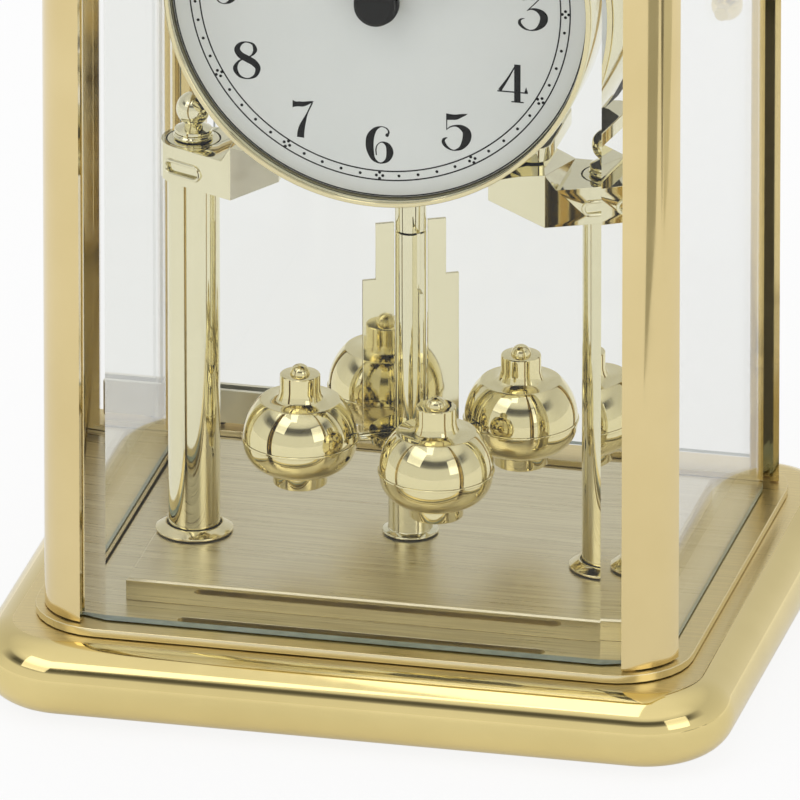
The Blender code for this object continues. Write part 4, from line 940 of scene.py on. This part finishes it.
# %% Floor
floor_half, near, far = 8, 0.08, 0.55
near_share, far_share, sight_share = 0.30, 0.80, 0.88
square = [(floor_half * x, floor_half * y, 0) for x, y in ((-1, -1), (1, -1), (1, 1), (-1, 1))]
floor_mesh = bpy.data.meshes.new("floor")
floor_mesh.from_pydata(square, [], [(0, 1, 2, 3)])
floor = bpy.data.objects.new("floor", floor_mesh)
bpy.context.scene.collection.objects.link(floor)
floor_white, nodes, links, principled = shader("floor_white", (0.93, 0.93, 0.93), 0.9)
relief(nodes, links, principled, noise(nodes, links, 60), 0.0002, 0.1)
path = nodes.new("ShaderNodeLightPath")
place = nodes.new("ShaderNodeTexCoord")
distance = nodes.new("ShaderNodeVectorMath")
distance.operation = "LENGTH"
links.new(place.outputs["Object"], distance.inputs[0])
away = spread(nodes, links, distance.outputs["Value"], near_share, far_share, near, far)
away.node.interpolation_type = "SMOOTHSTEP"
in_mirror = calculate(nodes, links, "MULTIPLY", path.outputs["Is Glossy Ray"], away)
seen = calculate(nodes, links, "MAXIMUM", path.outputs["Is Camera Ray"],
                 path.outputs["Is Transmission Ray"])
in_sight = calculate(nodes, links, "MULTIPLY", seen, sight_share)
lifted = calculate(nodes, links, "MAXIMUM", in_mirror, in_sight)
switch_shader(nodes, links, lifted, principled, nodes.new("ShaderNodeEmission"))
floor_mesh.materials.append(floor_white)
print("floor ready")

# %% Sky
world = bpy.data.worlds.new("studio")
bpy.context.scene.world = world
world.use_nodes = True
nodes, links = world.node_tree.nodes, world.node_tree.links
place = nodes.new("ShaderNodeTexCoord")
split = nodes.new("ShaderNodeSeparateXYZ")
links.new(place.outputs["Generated"], split.inputs[0])


def ramp(value, stops):
    """A grey ramp: brightness at each place from 0 to 1, with straight runs between them."""
    made = nodes.new("ShaderNodeValToRGB")
    made.color_ramp.elements.remove(made.color_ramp.elements[1])
    for i, (at, grey) in enumerate(stops):
        stop = made.color_ramp.elements[0] if i == 0 else made.color_ramp.elements.new(at)
        stop.position = at
        stop.color = (grey, grey, grey, 1)
    links.new(value, made.inputs["Fac"])
    return made.outputs["Color"]


open_stops = [(0.0, 0.80), (0.30, 0.72), (0.60, 0.66), (0.85, 0.85), (1.0, 0.95)]
front_stops = [(0.0, 0.86), (0.34, 0.84), (0.41, 0.30), (0.50, 0.10), (0.58, 0.14), (0.64, 0.75),
               (0.74, 1.00), (1.0, 0.95)]
front_start, front_end = 0.15, -0.25
open_sky, front_sky = ramp(split.outputs["Z"], open_stops), ramp(split.outputs["Z"], front_stops)
both = nodes.new("ShaderNodeMix")
both.data_type = "RGBA"
in_front = spread(nodes, links, split.outputs["Y"], 0, 1, front_start, front_end)
links.new(in_front, both.inputs["Factor"])
links.new(open_sky, both.inputs[6])
links.new(front_sky, both.inputs[7])
links.new(both.outputs[2], nodes["Background"].inputs["Color"])
nodes["Background"].inputs["Strength"].default_value = 1.0
print("sky ready")

# %% [markdown]
# A round edge of polished brass also mirrors what stands beside the table. Three grey cards on the
# floor to the right, which only a mirror sees, draw the soft bands down the right post. A card is
# given by its grey and by its corners, each a distance and a bearing from the foot of the post.

# %% Grey cards
card_centre, card_height = (0.06, -0.05), 0.0005
cards = {
    "wide_card": (0.45, [(0.19, 53), (0.231, 56), (0.277, 58), (0.385, 60), (0.80, 61), (0.80, 82),
                         (0.385, 81), (0.277, 76), (0.231, 65)]),
    "thin_card": (0.20, [(0.277, 89), (0.385, 86), (0.80, 85), (0.80, 93), (0.385, 92), (0.30, 90)]),
    "side_card": (0.72, [(0.27, 93), (0.385, 92), (0.80, 93), (0.80, 114), (0.385, 112),
                         (0.308, 104)]),
}
for name, (grey, corners) in cards.items():
    distance, bearing = np.array(corners).T
    bearing = np.radians(bearing)
    x, y = card_centre[0] + distance * np.sin(bearing), card_centre[1] - distance * np.cos(bearing)
    points = np.stack([x, y, 0 * x + card_height], -1).tolist()
    card_mesh = bpy.data.meshes.new(name)
    card_mesh.from_pydata(points, [], [list(range(len(points)))])
    paper = matt(name + "_paper", (grey, grey, 0.9 * grey), 0.9, bumps=(80, 0.001, 0.2))
    card_mesh.materials.append(paper)
    card = bpy.data.objects.new(name, card_mesh)
    bpy.context.scene.collection.objects.link(card)
    card.visible_camera = card.visible_diffuse = card.visible_shadow = card.visible_transmission = False
print("cards:", len(cards))

# %% Lamps
def lamp(name, place, target, size, power):
    """A rectangular area lamp, its size in metres and its power in watts, that faces a target."""
    data = bpy.data.lights.new(name, "AREA")
    data.shape = "RECTANGLE"
    data.size, data.size_y = size
    data.energy = power
    made = bpy.data.objects.new(name, data)
    made.location = place
    step = np.subtract(target, place)
    tilt = math.atan2(np.hypot(step[0], step[1]), -step[2])
    made.rotation_euler = (tilt, 0, math.atan2(step[1], step[0]) - math.pi / 2)
    bpy.context.scene.collection.objects.link(made)


clock_waist = (0, 0, 0.1)
lamp("key", (-1.3, -1.6, 1.7), clock_waist, size=(1.5, 1.5), power=8)
lamp("overhead", (-0.2, -0.42, 2.2), (-0.2, -0.42, 0), size=(2.8, 0.55), power=5.2)
lamp("fill", (1.7, -1.2, 0.9), clock_waist, size=(1.1, 1.1), power=4)
bpy.context.scene.view_settings.view_transform = "Standard"
print("lamps:", len(bpy.data.lights))
